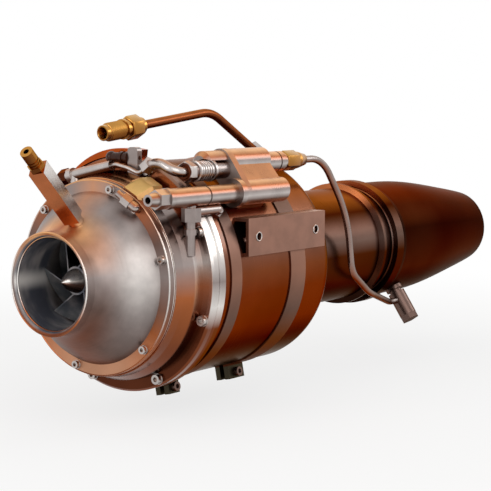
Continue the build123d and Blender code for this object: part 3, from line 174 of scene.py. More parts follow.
# Stretches along the axis, or away from it, over which a finish changes, in metres
NECK_TO_DOME = (0.016, 0.042)
DOME_TO_FLANGE = (0.0768, 0.0774)
THROAT_WALL = (0.0432, 0.0415)
THROAT_END = (0.045, 0.035)
HOUSING_STEP = (0.0815, 0.0835)
HOUSING_RIM = (0.0928, 0.0936)
DRUM_RIM = (0.1118, 0.1126)
DRUM_SHOULDER = (0.283, 0.289)
STRAP_EARS = (0.1026, 0.1034)
NOZZLE_SOOT = (0.66, 0.705)
NOZZLE_WALL = (0.0445, 0.0425)
NOZZLE_MOUTH = (0.69, 0.70)
IMPELLER_EYE = (0.012, 0.042)
# Radius at which the coupling's painted groove shade turns to the ribs' colour
COUPLING_RIB = (0.0075, 0.0084)

# Middle and half width of the painted highlights on the dome and in the throat: along the axis
# and up in metres, and round the axis as a share of half a turn
DOME_PAINTED_HIGHLIGHT = (0.041, 0.017)
DOME_PAINTED_HIGHLIGHT_ROUND = (0.45, 0.27)
THROAT_PAINTED_GLINT = (0.0, 0.011)


def srgb(red, green, blue):
    """Shader colour from a screen colour."""
    shares = (red / 255, green / 255, blue / 255)
    return tuple(s / 12.92 if s <= 0.04045 else ((s + 0.055) / 1.055) ** 2.4 for s in shares)


def named(name):
    """Shader colour of a named finish colour."""
    return srgb(*COLOURS[name])


class Value:
    """A socket whose arithmetic adds Math nodes to its material."""

    def __init__(self, finish, socket):
        self.finish = finish
        self.socket = socket

    def maths(self, operation, *values):
        inputs = dict(enumerate((self, *values)))
        return self.finish.node("ShaderNodeMath", {"operation": operation}, inputs)

    def __add__(self, other):
        return self.maths("ADD", other)

    def __sub__(self, other):
        return self.maths("SUBTRACT", other)

    def __mul__(self, other):
        return self.maths("MULTIPLY", other)

    def __truediv__(self, other):
        return self.maths("DIVIDE", other)

    def __pow__(self, other):
        return self.maths("POWER", other)

    def __rsub__(self, other):
        return self.finish.node("ShaderNodeMath", {"operation": "SUBTRACT"}, {0: other, 1: self})

    __radd__ = __add__
    __rmul__ = __mul__

    def between(self, low, high):
        """0 at low, 1 at high, smooth in between."""
        settings = {"interpolation_type": "SMOOTHSTEP"}
        inputs = {"Value": self, "From Min": low, "From Max": high}
        return self.finish.node("ShaderNodeMapRange", settings, inputs)

    def near(self, place, width):
        """1 at a place on this value, falling to 0 at a width from it."""
        return 1 - ((self - place).maths("ABSOLUTE") / width).between(0.0, 1.0)


class Finish:
    """A material being made: its shader, its nodes and the point being shaded."""

    def __init__(self, name, **shader):
        self.material = bpy.data.materials.new(name)
        self.material.use_nodes = True
        self.tree = self.material.node_tree
        self.shader = self.tree.nodes["Principled BSDF"]
        for socket, value in shader.items():
            self.shader.inputs[socket.replace("_", " ")].default_value = value
        self.point = self.node("ShaderNodeTexCoord", output="Object")
        self.x, self.y, self.z = self.parts(self.point)

    def parts(self, vector):
        made = self.tree.nodes.new("ShaderNodeSeparateXYZ")
        self.feed(made.inputs[0], vector)
        return [Value(self, socket) for socket in made.outputs]

    def node(self, kind, settings=None, inputs=None, output=0):
        made = self.tree.nodes.new(kind)
        for key, value in (settings or {}).items():
            if key == "stops":
                self.set_stops(made.color_ramp, value)
            else:
                setattr(made, key, value)
        for key, value in (inputs or {}).items():
            self.feed(made.inputs[key], value)
        return Value(self, made.outputs[output])

    def feed(self, target, value):
        if isinstance(value, Value):
            self.tree.links.new(value.socket, target)
        else:
            target.default_value = value

    @staticmethod
    def set_stops(ramp, stops):
        while len(ramp.elements) < len(stops):
            ramp.elements.new(1.0)
        for element, (place, colour) in zip(ramp.elements, stops):
            element.position = place
            element.color = (*colour, 1.0)

    def radius(self, y=0.0, z=0.0):
        """Distance from a line along X."""
        across = self.y - y
        up = self.z - z
        return (across * across + up * up) ** 0.5

    def clock(self):
        """Angle from the top round the rotor axis, as a share of half a turn."""
        return (self.z / self.radius()).maths("ARCCOSINE") / math.pi

    def slope(self):
        """Angle between the surface's face and straight up, as a share of half a turn."""
        normal = self.node("ShaderNodeTexCoord", output="Normal")
        return self.parts(normal)[2].maths("ARCCOSINE") / math.pi

    def painted_light_ramp(self, share, stops):
        """Named colours by an angle from straight up, painted as light and shade."""
        places = [(angle / 180, named(name)) for angle, name in stops]
        return self.node("ShaderNodeValToRGB", {"stops": places}, {"Fac": share})

    def noise(self, scale, detail=2.0, vector=None, roughness=0.5):
        place = vector or self.point
        inputs = {"Vector": place, "Scale": scale, "Detail": detail, "Roughness": roughness}
        return self.node("ShaderNodeTexNoise", {}, inputs)

    def vector(self, x, y, z):
        return self.node("ShaderNodeCombineXYZ", {}, {0: x, 1: y, 2: z})

    def mix(self, factor, first, second, blend="MIX"):
        """Colours mixed by a factor."""
        colours = [c if isinstance(c, Value) else (*c, 1.0) for c in (first, second)]
        settings = {"data_type": "RGBA", "blend_type": blend}
        inputs = {0: factor, 6: colours[0], 7: colours[1]}
        return self.node("ShaderNodeMix", settings, inputs, output=2)

    def stained(self, colour, cloud, low=0.84, high=1.08):
        """A colour made darker and lighter in soft clouds."""
        grey = self.mix(cloud.between(0.32, 0.68), (low, low, low), (high, high, high))
        return self.mix(1.0, colour, grey, "MULTIPLY")

    def turning_marks(self, scale):
        """Fine rings left by the lathe, which vary along the axis and the radius only."""
        return self.noise(scale, 3.0, self.vector(self.x, self.radius(), 0.0), 0.6)

    def colour(self, value):
        self.feed(self.shader.inputs["Base Color"], value)

    def metallic(self, value):
        self.feed(self.shader.inputs["Metallic"], value)

    def uneven_roughness(self, middle, first, second):
        """Roughness round a middle value, moved by two noises, each with its strength."""
        moved = first[0] * first[1] + second[0] * second[1]
        half = (first[1] + second[1]) / 2
        self.feed(self.shader.inputs["Roughness"], moved + (middle - half))

    def bump(self, height, strength, distance=0.0005):
        inputs = {"Height": height, "Strength": strength, "Distance": distance}
        self.feed(self.shader.inputs["Normal"], self.node("ShaderNodeBump", {}, inputs))

    def turned_surface(self, colour, rough, marks=700.0, lift=0.08):
        """Colour with soft stains, over fine lathe rings."""
        cloud = self.noise(16.0, 4.0)
        rings = self.turning_marks(marks)
        self.colour(self.stained(colour, cloud))
        self.uneven_roughness(rough, (rings, 0.14), (cloud, 0.12))
        self.bump(rings, lift)
        return self.material

    def plain_surface(self, colour, rough, grain=900.0, lift=0.15):
        """Colour with small stains, over a fine grain."""
        cloud = self.noise(70.0, 4.0)
        fine = self.noise(grain, 2.0)
        self.colour(self.stained(colour, cloud, 0.88, 1.05))
        self.uneven_roughness(rough, (cloud, 0.2), (fine, 0.1))
        self.bump(fine, lift, 0.0002)
        return self.material


def turned_metal(name, stops, rough, edge=WHITE, **surface):
    """Metal turned about the rotor axis, with reflections and shade painted round it."""
    made = Finish(name, Metallic=1.0, Specular_Tint=edge)
    return made.turned_surface(made.painted_light_ramp(made.clock(), stops), rough, **surface)


def sloped_metal(name, stops, rough, edge=WHITE, metal=1.0, **surface):
    """Metal of a small piece, with light and shade painted by which way each face looks."""
    made = Finish(name, Metallic=metal, Specular_Tint=edge)
    return made.plain_surface(made.painted_light_ramp(made.slope(), stops), rough, **surface)


def assign(material, *nodes):
    """Gives CAD pieces a finish."""
    for name in nodes:
        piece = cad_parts[name]
        if not piece.material_slots:
            piece.data.materials.append(material)
        for slot in piece.material_slots:
            slot.material = material


def finish_piece(piece, material, slot, *replaced):
    """Smooths a new piece, places it in its mesh and fixes it to the engine."""
    piece.data.materials.append(material)
    bpy.ops.object.select_all(action="DESELECT")
    piece.select_set(True)
    bpy.context.view_layer.objects.active = piece
    bpy.ops.object.transform_apply(location=True, rotation=True, scale=True)
    bpy.ops.object.shade_smooth_by_angle(angle=SHARP)
    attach(piece, "engine")
    if replaced:
        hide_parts(*replaced)


def lathe(name, start, direction, steps, sides=48, bevel=0.0):
    """A disc drawn out along a direction, with a radius in millimetres at each length."""
    first_length, first_radius = steps[0]
    bpy.ops.object.select_all(action="DESELECT")
    bpy.ops.mesh.primitive_circle_add(
        vertices=sides, radius=first_radius * MM, fill_type="NGON", location=ORIGIN
    )
    piece = bpy.context.object
    piece.name = name
    bpy.ops.object.mode_set(mode="EDIT")
    bpy.ops.transform.translate(value=(0.0, 0.0, first_length * MM))
    for (length, radius), (next_length, next_radius) in zip(steps, steps[1:]):
        move = {"value": (0.0, 0.0, (next_length - length) * MM)}
        bpy.ops.mesh.extrude_region_move(TRANSFORM_OT_translate=move)
        growth = next_radius / radius
        middle = (0.0, 0.0, next_length * MM)
        bpy.ops.transform.resize(value=(growth, growth, 1.0), center_override=middle)
    bpy.ops.mesh.select_all(action="SELECT")
    bpy.ops.mesh.normals_make_consistent(inside=False)
    bpy.ops.object.mode_set(mode="OBJECT")
    if bevel:
        soften(piece, bevel)
    piece.rotation_euler = Vector(direction).to_track_quat("Z", "Y").to_euler()
    piece.location = Vector(start) * MM
    return piece


def hexagon_radius(across_flats):
    """Radius at the corners of a hexagon."""
    return across_flats / 2 / math.cos(math.pi / 6)


def front_centre(name):
    """Middle of a CAD piece's front end, in millimetres."""
    low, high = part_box(name)
    return Vector((low[0], (low[1] + high[1]) / 2, (low[2] + high[2]) / 2)) / MM


def soften(piece, width):
    """Rounds the sharp edges of a piece."""
    modifier = piece.modifiers.new("edges", "BEVEL")
    modifier.width = width * MM
    modifier.segments = 2
    modifier.limit_method = "ANGLE"
    modifier.angle_limit = SHARP
    bpy.ops.object.modifier_apply(modifier="edges")


def bead(name, centre, radius, thickness, axis=ALONG, steps=144):
    """A round bead along a circle."""
    bpy.ops.object.select_all(action="DESELECT")
    place = (Vector(centre) + Vector((0.0, 0.0, radius))) * MM
    lie = (math.pi / 2, 0.0, 0.0) if axis[0] else (0.0, math.pi / 2, 0.0)
    bpy.ops.mesh.primitive_circle_add(
        vertices=12, radius=thickness * MM, location=place, rotation=lie
    )
    piece = bpy.context.object
    piece.name = name
    bpy.ops.object.transform_apply(location=True, rotation=True, scale=True)
    bpy.ops.object.mode_set(mode="EDIT")
    bpy.ops.mesh.select_all(action="SELECT")
    bpy.ops.mesh.spin(steps=steps, angle=FULL_TURN, center=Vector(centre) * MM, axis=axis)
    bpy.ops.mesh.select_all(action="SELECT")
    bpy.ops.mesh.remove_doubles(threshold=0.00002)
    bpy.ops.mesh.normals_make_consistent(inside=False)
    bpy.ops.object.mode_set(mode="OBJECT")
    return piece


def repeated(piece, places):
    """A piece at each place in millimetres, each copy with its own mesh."""
    pieces = [piece]
    for _ in places[1:]:
        copy = piece.copy()
        copy.data = piece.data.copy()
        bpy.context.collection.objects.link(copy)
        pieces.append(copy)
    for item, place in zip(pieces, places):
        item.location = Vector(place) * MM
    return pieces


def joined(name, pieces):
    """Several pieces as one."""
    bpy.ops.object.select_all(action="DESELECT")
    for piece in pieces:
        piece.select_set(True)
    bpy.context.view_layer.objects.active = pieces[0]
    bpy.ops.object.transform_apply(location=True, rotation=True, scale=True)
    bpy.ops.object.join()
    pieces[0].name = name
    return pieces[0]


class TURBOJET_PG_sizes(PropertyGroup):
    """Sizes and colours that a user would change."""

    # Colour of the highlight painted on the near side of the dome
    painted_dome_highlight: FloatVectorProperty(
        name="Dome highlight",
        description="Colour of the polished stretch on the near side of the dome",
        subtype="COLOR",
        default=named("polish"),
    )
    throat: FloatVectorProperty(
        name="Throat",
        description="Colour of the dark inner wall of the intake",
        subtype="COLOR",
        default=named("ink"),
    )
    edge_bead: FloatProperty(
        name="Edge bead",
        description="Radius of the beads that round the flange edges",
        default=0.0008,
        min=0.0002,
        unit="LENGTH",
    )
    floor_drop: FloatProperty(
        name="Floor drop",
        description="How far the floor lies below the lowest point of the engine",
        default=0.02,
        min=0.0,
        unit="LENGTH",
    )


class TURBOJET_OT_body_finishes(Operator):
    """Gives the intake, casings, pipe and nozzle their finish"""

    bl_idname = "turbojet.body_finishes"
    bl_label = "Body finishes"

    def execute(self, context):
        sizes = context.scene.turbojet
        assign(self.cover(sizes), "intake_cover")
        assign(self.housing(), "front_housing")
        assign(self.casing(), "combustor_casing")
        assign(self.strap(), "front_strap", "rear_strap")
        # Heat-tinted pipe with reflections and shade painted round the axis
        pipe = turned_metal("pipe_heat_tint_and_painted_light", PIPE, 0.3, WARM_EDGE)
        assign(pipe, "jet_pipe", "joint_band", "joint_band_bolt")
        assign(self.nozzle(), "exhaust_nozzle")
        return {"FINISHED"}

    def cover(self, sizes):
        made = Finish("cover_satin", Metallic=1.0)
        clock = made.clock()
        radius = made.radius()
        past_neck = made.x.between(*NECK_TO_DOME)
        # Reflections and shade painted round the axis on the neck, dome and flange
        dome = made.mix(past_neck, made.painted_light_ramp(clock, NECK), made.painted_light_ramp(clock, DOME))
        # Highlight painted on the near side of the dome, by station and angle round the axis
        painted_bright = made.x.near(*DOME_PAINTED_HIGHLIGHT) * clock.near(*DOME_PAINTED_HIGHLIGHT_ROUND)
        dome = made.mix(painted_bright * 0.35, dome, sizes.painted_dome_highlight)
        dome = made.stained(dome, made.noise(48.0, 6.0), 0.84, 1.05)
        outside = made.mix(radius.between(*DOME_TO_FLANGE), dome, made.painted_light_ramp(clock, FLANGE))
        cast = made.noise(45.0, 3.0, made.vector(made.x, clock * 0.05, 0.0))
        throat = made.mix(cast.between(0.4, 0.65) * 0.6, sizes.throat, named("silver"))
        # Glint painted along the middle height of the throat
        throat = made.mix(made.z.near(*THROAT_PAINTED_GLINT) * 0.9, throat, named("polish"))
        inside = radius.between(*THROAT_WALL) * made.x.between(*THROAT_END)
        made.metallic(1 - inside * 0.55)
        return made.turned_surface(made.mix(inside, outside, throat), 0.46, marks=650.0, lift=0.06)

    def housing(self):
        made = Finish("housing_polish", Metallic=1.0)
        clock = made.clock()
        past_step = made.x.between(*HOUSING_STEP)
        # Reflections and shade painted round the axis, with highlights painted on the rim
        colour = made.mix(past_step, made.painted_light_ramp(clock, HOUSING), made.painted_light_ramp(clock, STEP))
        colour = made.mix(made.x.between(*HOUSING_RIM), colour, made.painted_light_ramp(clock, RIM))
        return made.turned_surface(colour, 0.22)

    def casing(self):
        made = Finish("drum_polish", Metallic=1.0, Specular_Tint=WARM_EDGE)
        clock = made.clock()
        past_rim = made.x.between(*DRUM_RIM)
        # Highlights on the rim, and reflections and shade on the drum, painted round the axis
        colour = made.mix(past_rim, made.painted_light_ramp(clock, RIM), made.painted_light_ramp(clock, DRUM))
        rear = made.x.between(*DRUM_SHOULDER)
        colour = made.mix(rear * 0.7, colour, named("umber"))
        return made.turned_surface(colour, 0.24)

    def strap(self):
        """Brushed band with dark clamping ears."""
        made = Finish("strap_brushed", Metallic=1.0, Specular_Tint=WARM_EDGE)
        ears = made.radius().between(*STRAP_EARS)
        # Reflections and shade painted round the axis; the ears are dark olive
        colour = made.mix(ears, made.painted_light_ramp(made.clock(), STRAP), named("olive"))
        return made.turned_surface(colour, 0.4, marks=1500.0)

    def nozzle(self):
        made = Finish("nozzle_heat_tint_and_painted_light", Metallic=1.0, Specular_Tint=WARM_EDGE)
        clock = made.clock()
        # Heat tint with reflections and shade painted round the axis
        colour = made.painted_light_ramp(clock, NOZZLE)
        soot = made.x.between(*NOZZLE_SOOT) * 0.35
        colour = made.mix(soot, colour, named("soot"))
        within = made.radius().between(*NOZZLE_WALL) * made.x.between(*NOZZLE_MOUTH)
        return made.turned_surface(made.mix(within, colour, named("soot")), 0.38)


class TURBOJET_OT_fitting_finishes(Operator):
    """Gives the fittings, lines, screws and inner pieces their finish"""

    bl_idname = "turbojet.fitting_finishes"
    bl_label = "Fitting finishes"

    # Finish, colours that paint light and shade by the way each face looks, roughness, other
    # settings and the CAD pieces that have it
    finishes = (
        ("screw_steel", SCREW, 0.26, {}, (
            "cover_screws", "main_flange_screws", "jet_pipe_screws",
        )),
        ("strap_screw_dark", DULL, 0.34, {"edge": WARM_EDGE}, ("strap_screws",)),
        ("rail_brown", RAIL, 0.42, {"grain": 300.0}, ("near_rail", "far_rail")),
        ("cap_brown", CAP, 0.28, {"edge": WARM_EDGE}, ("crossover_cap",)),
        ("saddle_orange", SADDLE, 0.24, {}, ("top_saddle",)),
        ("pad_gold", PAD, 0.4, {"metal": 0.6}, ("gallery_block",)),
        ("tap_brass", VALVE, 0.26, {}, ("pressure_tap",)),
        ("fitting_silver", BRIGHT, 0.26, {}, (
            "crossover_union", "supply_elbow", "crossover_pipe",
        )),
        ("bracket_grey", TUBE, 0.32, {}, ("sensor_bracket", "drain_elbow")),
        ("nipple_brass", BRASS, 0.24, {"edge": WARM_EDGE}, ("start_air_nipple",)),
        ("valve_satin", VALVE, 0.3, {}, ("valve_block", "valve_bracket", "valve_outlet")),
        ("valve_end", VALVE, 0.38, {"metal": 0.6}, ("valve_plate",)),
        ("filter_satin", VALVE, 0.32, {}, ("filter_body", "filter_inlet")),
        ("feed_grey", TUBE, 0.26, {"edge": WARM_EDGE}, ("feed_tube",)),
        ("supply_brown", WARM_TUBE, 0.3, {"edge": WARM_EDGE}, ("supply_tube",)),
        ("reheat_dull", DULL, 0.34, {"edge": WARM_EDGE}, ("reheat_fitting",)),
        ("inner_steel", PLAIN, 0.3, {}, (
            "diffuser", "shaft_tunnel", "rotor_shaft", "front_spacer", "rear_spacer",
            "front_outer_race", "rear_outer_race", "front_inner_race", "rear_inner_race",
            "bearing_balls", "turbine_nut",
        )),
        ("cage_brass", BRASS, 0.35, {}, ("front_cage", "rear_cage")),
        ("hot_parts", HOT, 0.45, {}, (
            "combustor_liner", "fuel_ring", "guide_vanes", "turbine_wheel", "tail_cone",
        )),
    )

    def execute(self, context):
        for name, stops, rough, settings, nodes in self.finishes:
            assign(sloped_metal(name, stops, rough, **settings), *nodes)
        assign(self.air_bar(), "start_air_jet")
        assign(self.plug(), "sensor_plug")
        assign(self.impeller(), "impeller")
        assign(self.spinner(), "spinner_nut")
        return {"FINISHED"}

    def air_bar(self):
        """Bright drawn bar with painted reflections: brown on the face that looks forward, near
        white on the others.
        """
        made = Finish("air_bar_silver", Metallic=1.0)
        facing = made.parts(made.node("ShaderNodeTexCoord", output="Normal"))
        forward_painted_reflection = (facing[0] * -1.0).between(0.25, 0.6)
        painted_bright = made.mix(0.75, made.painted_light_ramp(made.slope(), BRIGHT), named("polish"))
        return made.plain_surface(made.mix(forward_painted_reflection, painted_bright, named("copper")), 0.2, lift=0.03)

    def plug(self):
        """Dark brown moulded plastic."""
        made = Finish("plug_brown", Roughness=0.2, Specular_IOR_Level=0.2)
        fine = made.noise(500.0)
        made.colour(made.mix(fine, named("soot"), named("umber")))
        made.bump(fine, 0.05, 0.0001)
        return made.material

    def impeller(self):
        """Blades that are dark at the hub and paler towards the rim."""
        made = Finish("impeller_blue", Metallic=0.6)
        cloud = made.noise(60.0, 3.0)
        colour = made.mix(made.radius().between(*IMPELLER_EYE), named("ink"), named("slate"))
        colour = made.mix(cloud.between(0.4, 0.7) * 0.4, colour, named("silver"))
        return made.plain_surface(colour, 0.32)

    def spinner(self):
        made = Finish("spinner_polish", Metallic=0.75)
        # Highlight and shade painted round the axis
        return made.turned_surface(made.painted_light_ramp(made.clock(), SPINNER), 0.2, marks=1200.0)


class TURBOJET_OT_edge_beads(Operator):
    """Rounds the flange edges with polished beads"""

    bl_idname = "turbojet.edge_beads"
    bl_label = "Edge beads"

    # Station and radius of each edge in millimetres
    edges = ((57.6, 86.9), (63.4, 86.9), (64.7, 88.3), (0.3, 44.7), (4.0, 41.1))

    def execute(self, context):
        thickness = context.scene.turbojet.edge_bead / MM
        rings = [bead("edge", (x, 0.0, 0.0), radius, thickness) for x, radius in self.edges]
        # Highlights painted round the axis on the beads
        material = turned_metal("edge_polish", EDGE, 0.16)
        finish_piece(joined("edge_beads", rings), material, "cover_metal")
        return {"FINISHED"}


class TURBOJET_OT_washers(Operator):
    """Puts washers under the screw heads and bushes in the rail holes"""

    bl_idname = "turbojet.washers"
    bl_label = "Washers and bushes"

    # Screw rings: count, first angle in degrees, then in millimetres the station, the ring's
    # radius and the washer's steps
    screw_rings = (
        (8, 19.5, 92.5, 101.0, ((0.0, 4.9), (0.15, 5.1), (0.45, 5.1))),
        (6, 15.0, 56.4, 82.25, ((0.0, 3.9), (0.15, 4.1), (0.55, 4.1))),
    )
    # Places of the rail holes, and their bushes, in millimetres
    rail_stations = (162.5, 252.5)
    rail_faces = (-104.0, 104.0)
    rail_height = 35.0
    bush_radius = 3.9
    bush_wall = 0.7

    def execute(self, context):
        washers = [washer for ring in self.screw_rings for washer in self.washer_ring(*ring)]
        # Light and shade painted on washers and bushes by the way each face looks
        painted_bright = sloped_metal("washer_bright", SCREW, 0.2)
        finish_piece(joined("washers", washers), painted_bright, "screw_steel")
        bush = bead("bush", ORIGIN, self.bush_radius, self.bush_wall, ACROSS, steps=32)
        holes = [(x, y, self.rail_height) for y in self.rail_faces for x in self.rail_stations]
        painted_bright = sloped_metal("bush_bright", SCREW, 0.22)
        finish_piece(joined("rail_bushes", repeated(bush, holes)), painted_bright, "rail_metal")
        return {"FINISHED"}

    def washer_ring(self, count, first, station, ring_radius, steps):
        angles = [math.radians(first) + FULL_TURN * i / count for i in range(count)]
        places = [(station, -ring_radius * math.sin(a), ring_radius * math.cos(a)) for a in angles]
        return repeated(lathe("washer", ORIGIN, ALONG, steps, sides=32), places)


class TURBOJET_OT_supply_union(Operator):
    """Turns the threaded brass union and nut of the fuel supply"""

    bl_idname = "turbojet.supply_union"
    bl_label = "Supply union"

    # Ends of the straight part of the supply tube in millimetres
    start = Vector((74.0, -30.0, 133.03))
    top = Vector((187.0, -30.0, 145.83))
    # How far the seat lies out from the tube's end
    seat_step = 6
    # Number of threads, then in millimetres their pitch and the hexagon's width
    threads = 10
    pitch = 1.75
    across_flats = 19

    def execute(self, context):
        out = (self.start - self.top).normalized()
        seat = self.start + out * self.seat_step
        steps = [(0.2, 7.4), (0.6, 8.1), (3.0, 8.1), (3.3, 9.0), (5.7, 9.0), (6.0, 7.6)]
        steps += [(7.4, 7.4)]
        for i in range(self.threads):
            steps += [(8.2 + self.pitch * i, 8.2), (9.05 + self.pitch * i, 7.35)]
        steps += [(26.0, 7.3), (26.2, 6.8), (30.5, 6.8), (31.0, 6.3), (31.0, 5.4)]
        steps += [(25.0, 2.5), (6.0, 2.5)]
        # Light and shade painted by the way each face looks
        brass = sloped_metal("union_brass", BRASS, 0.22)
        union = lathe("supply_union", seat, out, steps)
        finish_piece(union, brass, "fitting_brass", "supply_fitting")
        corner = hexagon_radius(self.across_flats)
        hexagon = ((0.1, corner - 1.4), (1.0, corner), (14.0, corner), (15.0, corner - 1.4))
        sleeve = ((14.0, 7.6), (19.4, 7.6), (20.0, 7.0), (20.0, 4.2), (12.0, 4.2))
        nut = [
            lathe("hexagon", seat, -out, hexagon, sides=6, bevel=0.35),
            lathe("sleeve", seat, -out, sleeve),
        ]
        finish_piece(joined("supply_hexagon", nut), brass, "fitting_brass", "supply_nut")
        return {"FINISHED"}


class TURBOJET_OT_valve_fittings(Operator):
    """Turns the ribbed coupling and the brass nut of the fuel valve"""

    bl_idname = "turbojet.valve_fittings"
    bl_label = "Valve fittings"

    # Number of ribs, then in millimetres their pitch and both hexagons' width
    ribs = 5
    rib_pitch = 3.2
    across_flats = 17

    def execute(self, context):
        self.coupling()
        self.nut()
        return {"FINISHED"}

    def coupling(self):
        start = front_centre("fuel_coupling")
        steps = [(0.0, 4.7), (0.0, 6.2), (0.4, 6.5), (4.0, 7.8), (13.6, 7.8)]
        steps += [(14.0, 8.4), (14.3, 9.4), (16.2, 9.4), (16.5, 8.0)]
        for i in range(self.ribs):
            rib = self.rib_pitch * i
            steps += [(17.2 + rib, 7.4), (17.8 + rib, 9.0), (19.2 + rib, 9.0), (19.8 + rib, 7.4)]
        steps += [(34.0, 8.2), (34.2, 10.0), (36.8, 10.0), (37.0, 8.0), (56.9, 8.0)]
        corner = hexagon_radius(self.across_flats)
        hexagon = ((1.0, corner - 1.3), (2.0, corner), (9.0, corner), (10.0, corner - 1.3))
        silver = self.ribbed_silver(start * MM)
        pieces = [
            lathe("barrel", start, ALONG, steps),
            lathe("hexagon", start, ALONG, hexagon, sides=6, bevel=0.3),
        ]
        ribbed = joined("ribbed_coupling", pieces)
        finish_piece(ribbed, silver, "valve_end_metal", "fuel_coupling")

    def ribbed_silver(self, axis):
        """Ribs painted bright by the way each face looks, with shade painted in the grooves."""
        made = Finish("coupling_silver", Metallic=1.0)
        # Shade painted in the grooves between the ribs
        crest = made.radius(axis.y, axis.z).between(*COUPLING_RIB)
        colour = made.mix(crest, named("umber"), made.painted_light_ramp(made.slope(), BRIGHT))
        return made.plain_surface(colour, 0.3)

    def nut(self):
        start = front_centre("feed_nut")
        corner = hexagon_radius(self.across_flats)
        hexagon = ((0.0, corner - 1.4), (1.0, corner), (19.0, corner), (20.0, corner - 1.2))
        cone = ((19.0, 8.4), (21.5, 8.3), (22.0, 7.6), (23.0, 7.6), (23.5, 8.0), (34.4, 5.8))
        cone += ((35.0, 5.2), (35.0, 3.6), (30.0, 3.6))
        # Light and shade painted by the way each face looks
        brass = sloped_metal("nut_brass", BRASS, 0.26)
        pieces = [
            lathe("hexagon", start, ALONG, hexagon, sides=6, bevel=0.35),
            lathe("cone", start, ALONG, cone),
        ]
        finish_piece(joined("feed_hexagon", pieces), brass, "fitting_brass", "feed_nut")


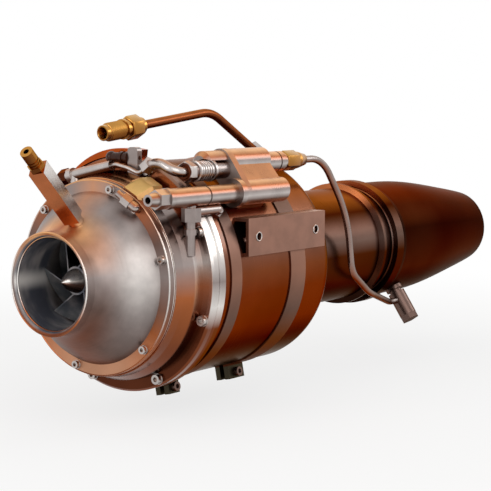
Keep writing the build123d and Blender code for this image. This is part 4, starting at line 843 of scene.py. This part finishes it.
class TURBOJET_OT_studio(Operator):
    """Builds the floor, the lights and the camera"""

    bl_idname = "turbojet.studio"
    bl_label = "Studio"

    # Camera found from the photograph: millimetres, degrees and pixels
    target = (280.65, 0.0, 10.758)
    distance = 1505.07
    azimuth = -53.082
    elevation = 5.837
    focal_pixels = 1500.0
    image_pixels = 491.0
    film_width = 36.0
    # Light from all round the engine
    sky = (1.0, 0.98, 0.95, 1.0)
    sky_strength = 0.6
    # Width of the floor and where its middle lies along the engine, in metres
    floor_size = 30.0
    floor_middle = 0.3
    floor_pale = (0.93, 0.93, 0.93, 1.0)
    # How far out the floor turns from shadowed to plain white, in metres
    floor_fade = (0.35, 1.1)
    # Softboxes: name, place, aim and width in metres, power in watts
    softboxes = (
        ("key", (-0.6, -1.5, 0.9), (0.1, 0.0, 0.0), 1.4, 9.0),
        ("fill", (-1.6, 0.4, 0.7), (0.1, 0.0, 0.0), 0.9, 6.0),
        ("rear", (1.7, -1.2, 0.8), (0.3, 0.0, 0.0), 0.7, 5.0),
    )

    def execute(self, context):
        self.camera(context)
        self.world(context)
        self.floor(context)
        for softbox in self.softboxes:
            self.lamp(context, *softbox)
        return {"FINISHED"}

    def camera(self, context):
        az = math.radians(self.azimuth)
        el = math.radians(self.elevation)
        back = Vector((math.sin(az) * math.cos(el), -math.cos(az) * math.cos(el), math.sin(el)))
        data = bpy.data.cameras.new("photo_camera")
        data.sensor_width = self.film_width
        data.lens = data.sensor_width * self.focal_pixels / self.image_pixels
        camera = bpy.data.objects.new("photo_camera", data)
        camera.location = (Vector(self.target) + back * self.distance) * MM
        camera.rotation_euler = (math.pi / 2 - el, 0.0, az)
        context.collection.objects.link(camera)
        context.scene.camera = camera

    def world(self, context):
        world = bpy.data.worlds.new("studio")
        context.scene.world = world
        world.use_nodes = True
        tree = world.node_tree
        soft = tree.nodes["Background"]
        soft.inputs["Color"].default_value = self.sky
        soft.inputs["Strength"].default_value = self.sky_strength
        white = tree.nodes.new("ShaderNodeBackground")
        white.inputs["Color"].default_value = WHITE
        white.inputs["Strength"].default_value = 1.0
        mix = tree.nodes.new("ShaderNodeMixShader")
        tree.links.new(self.seen(tree), mix.inputs[0])
        tree.links.new(soft.outputs[0], mix.inputs[1])
        tree.links.new(white.outputs[0], mix.inputs[2])
        tree.links.new(mix.outputs[0], tree.nodes["World Output"].inputs["Surface"])

    def seen(self, tree):
        """1 for camera, mirror and glass rays."""
        rays = tree.nodes.new("ShaderNodeLightPath")
        total = rays.outputs["Is Camera Ray"]
        for name in ("Is Glossy Ray", "Is Transmission Ray"):
            add = tree.nodes.new("ShaderNodeMath")
            add.operation = "MAXIMUM"
            tree.links.new(total, add.inputs[0])
            tree.links.new(rays.outputs[name], add.inputs[1])
            total = add.outputs[0]
        return total

    def floor(self, context):
        low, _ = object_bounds()
        bpy.ops.object.select_all(action="DESELECT")
        place = (self.floor_middle, 0.0, low[2] - context.scene.turbojet.floor_drop)
        bpy.ops.mesh.primitive_plane_add(size=self.floor_size, location=place)
        floor = context.object
        floor.name = "studio_floor"
        made = Finish("floor_white", Roughness=1.0, Specular_IOR_Level=0.0)
        made.colour(self.floor_pale)
        tree = made.tree
        white = tree.nodes.new("ShaderNodeEmission")
        white.inputs["Color"].default_value = WHITE
        white.inputs["Strength"].default_value = 1.0
        far = (made.x * made.x + made.y * made.y) ** 0.5
        share = far.between(*self.floor_fade) * 0.25 + 0.75
        mask = share * Value(made, self.seen(tree))
        mix = tree.nodes.new("ShaderNodeMixShader")
        tree.links.new(mask.socket, mix.inputs[0])
        tree.links.new(made.shader.outputs[0], mix.inputs[1])
        tree.links.new(white.outputs[0], mix.inputs[2])
        tree.links.new(mix.outputs[0], tree.nodes["Material Output"].inputs["Surface"])
        floor.data.materials.append(made.material)
        floor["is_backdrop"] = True

    def lamp(self, context, name, place, aim, width, power):
        data = bpy.data.lights.new(name, "AREA")
        data.size = width
        data.energy = power
        lamp = bpy.data.objects.new(name, data)
        lamp.location = place
        direction = Vector(aim) - Vector(place)
        lamp.rotation_euler = direction.to_track_quat("-Z", "Y").to_euler()
        context.collection.objects.link(lamp)


class TURBOJET_PT_panel(Panel):
    """Lists the engine's pieces in the sidebar"""

    bl_label = "Turbojet"
    bl_idname = "TURBOJET_PT_panel"
    bl_space_type = "VIEW_3D"
    bl_region_type = "UI"
    bl_category = "Turbojet"

    def draw(self, context):
        sizes = context.scene.turbojet
        for name in ("painted_dome_highlight", "throat", "edge_bead", "floor_drop"):
            self.layout.prop(sizes, name)
        for piece in PIECES:
            self.layout.operator(piece.bl_idname)


PIECES = (
    TURBOJET_OT_body_finishes,
    TURBOJET_OT_fitting_finishes,
    TURBOJET_OT_edge_beads,
    TURBOJET_OT_washers,
    TURBOJET_OT_supply_union,
    TURBOJET_OT_valve_fittings,
    TURBOJET_OT_studio,
)
CLASSES = (TURBOJET_PG_sizes, *PIECES, TURBOJET_PT_panel)


def register():
    for item in CLASSES:
        bpy.utils.register_class(item)
    bpy.types.Scene.turbojet = PointerProperty(type=TURBOJET_PG_sizes)


def unregister():
    del bpy.types.Scene.turbojet
    for item in reversed(CLASSES):
        bpy.utils.unregister_class(item)


def main():
    register()
    bpy.context.scene.view_settings.view_transform = "Standard"
    for piece in PIECES:
        module, name = piece.bl_idname.split(".")
        getattr(getattr(bpy.ops, module), name)()


if __name__ == "__main__":
    main()
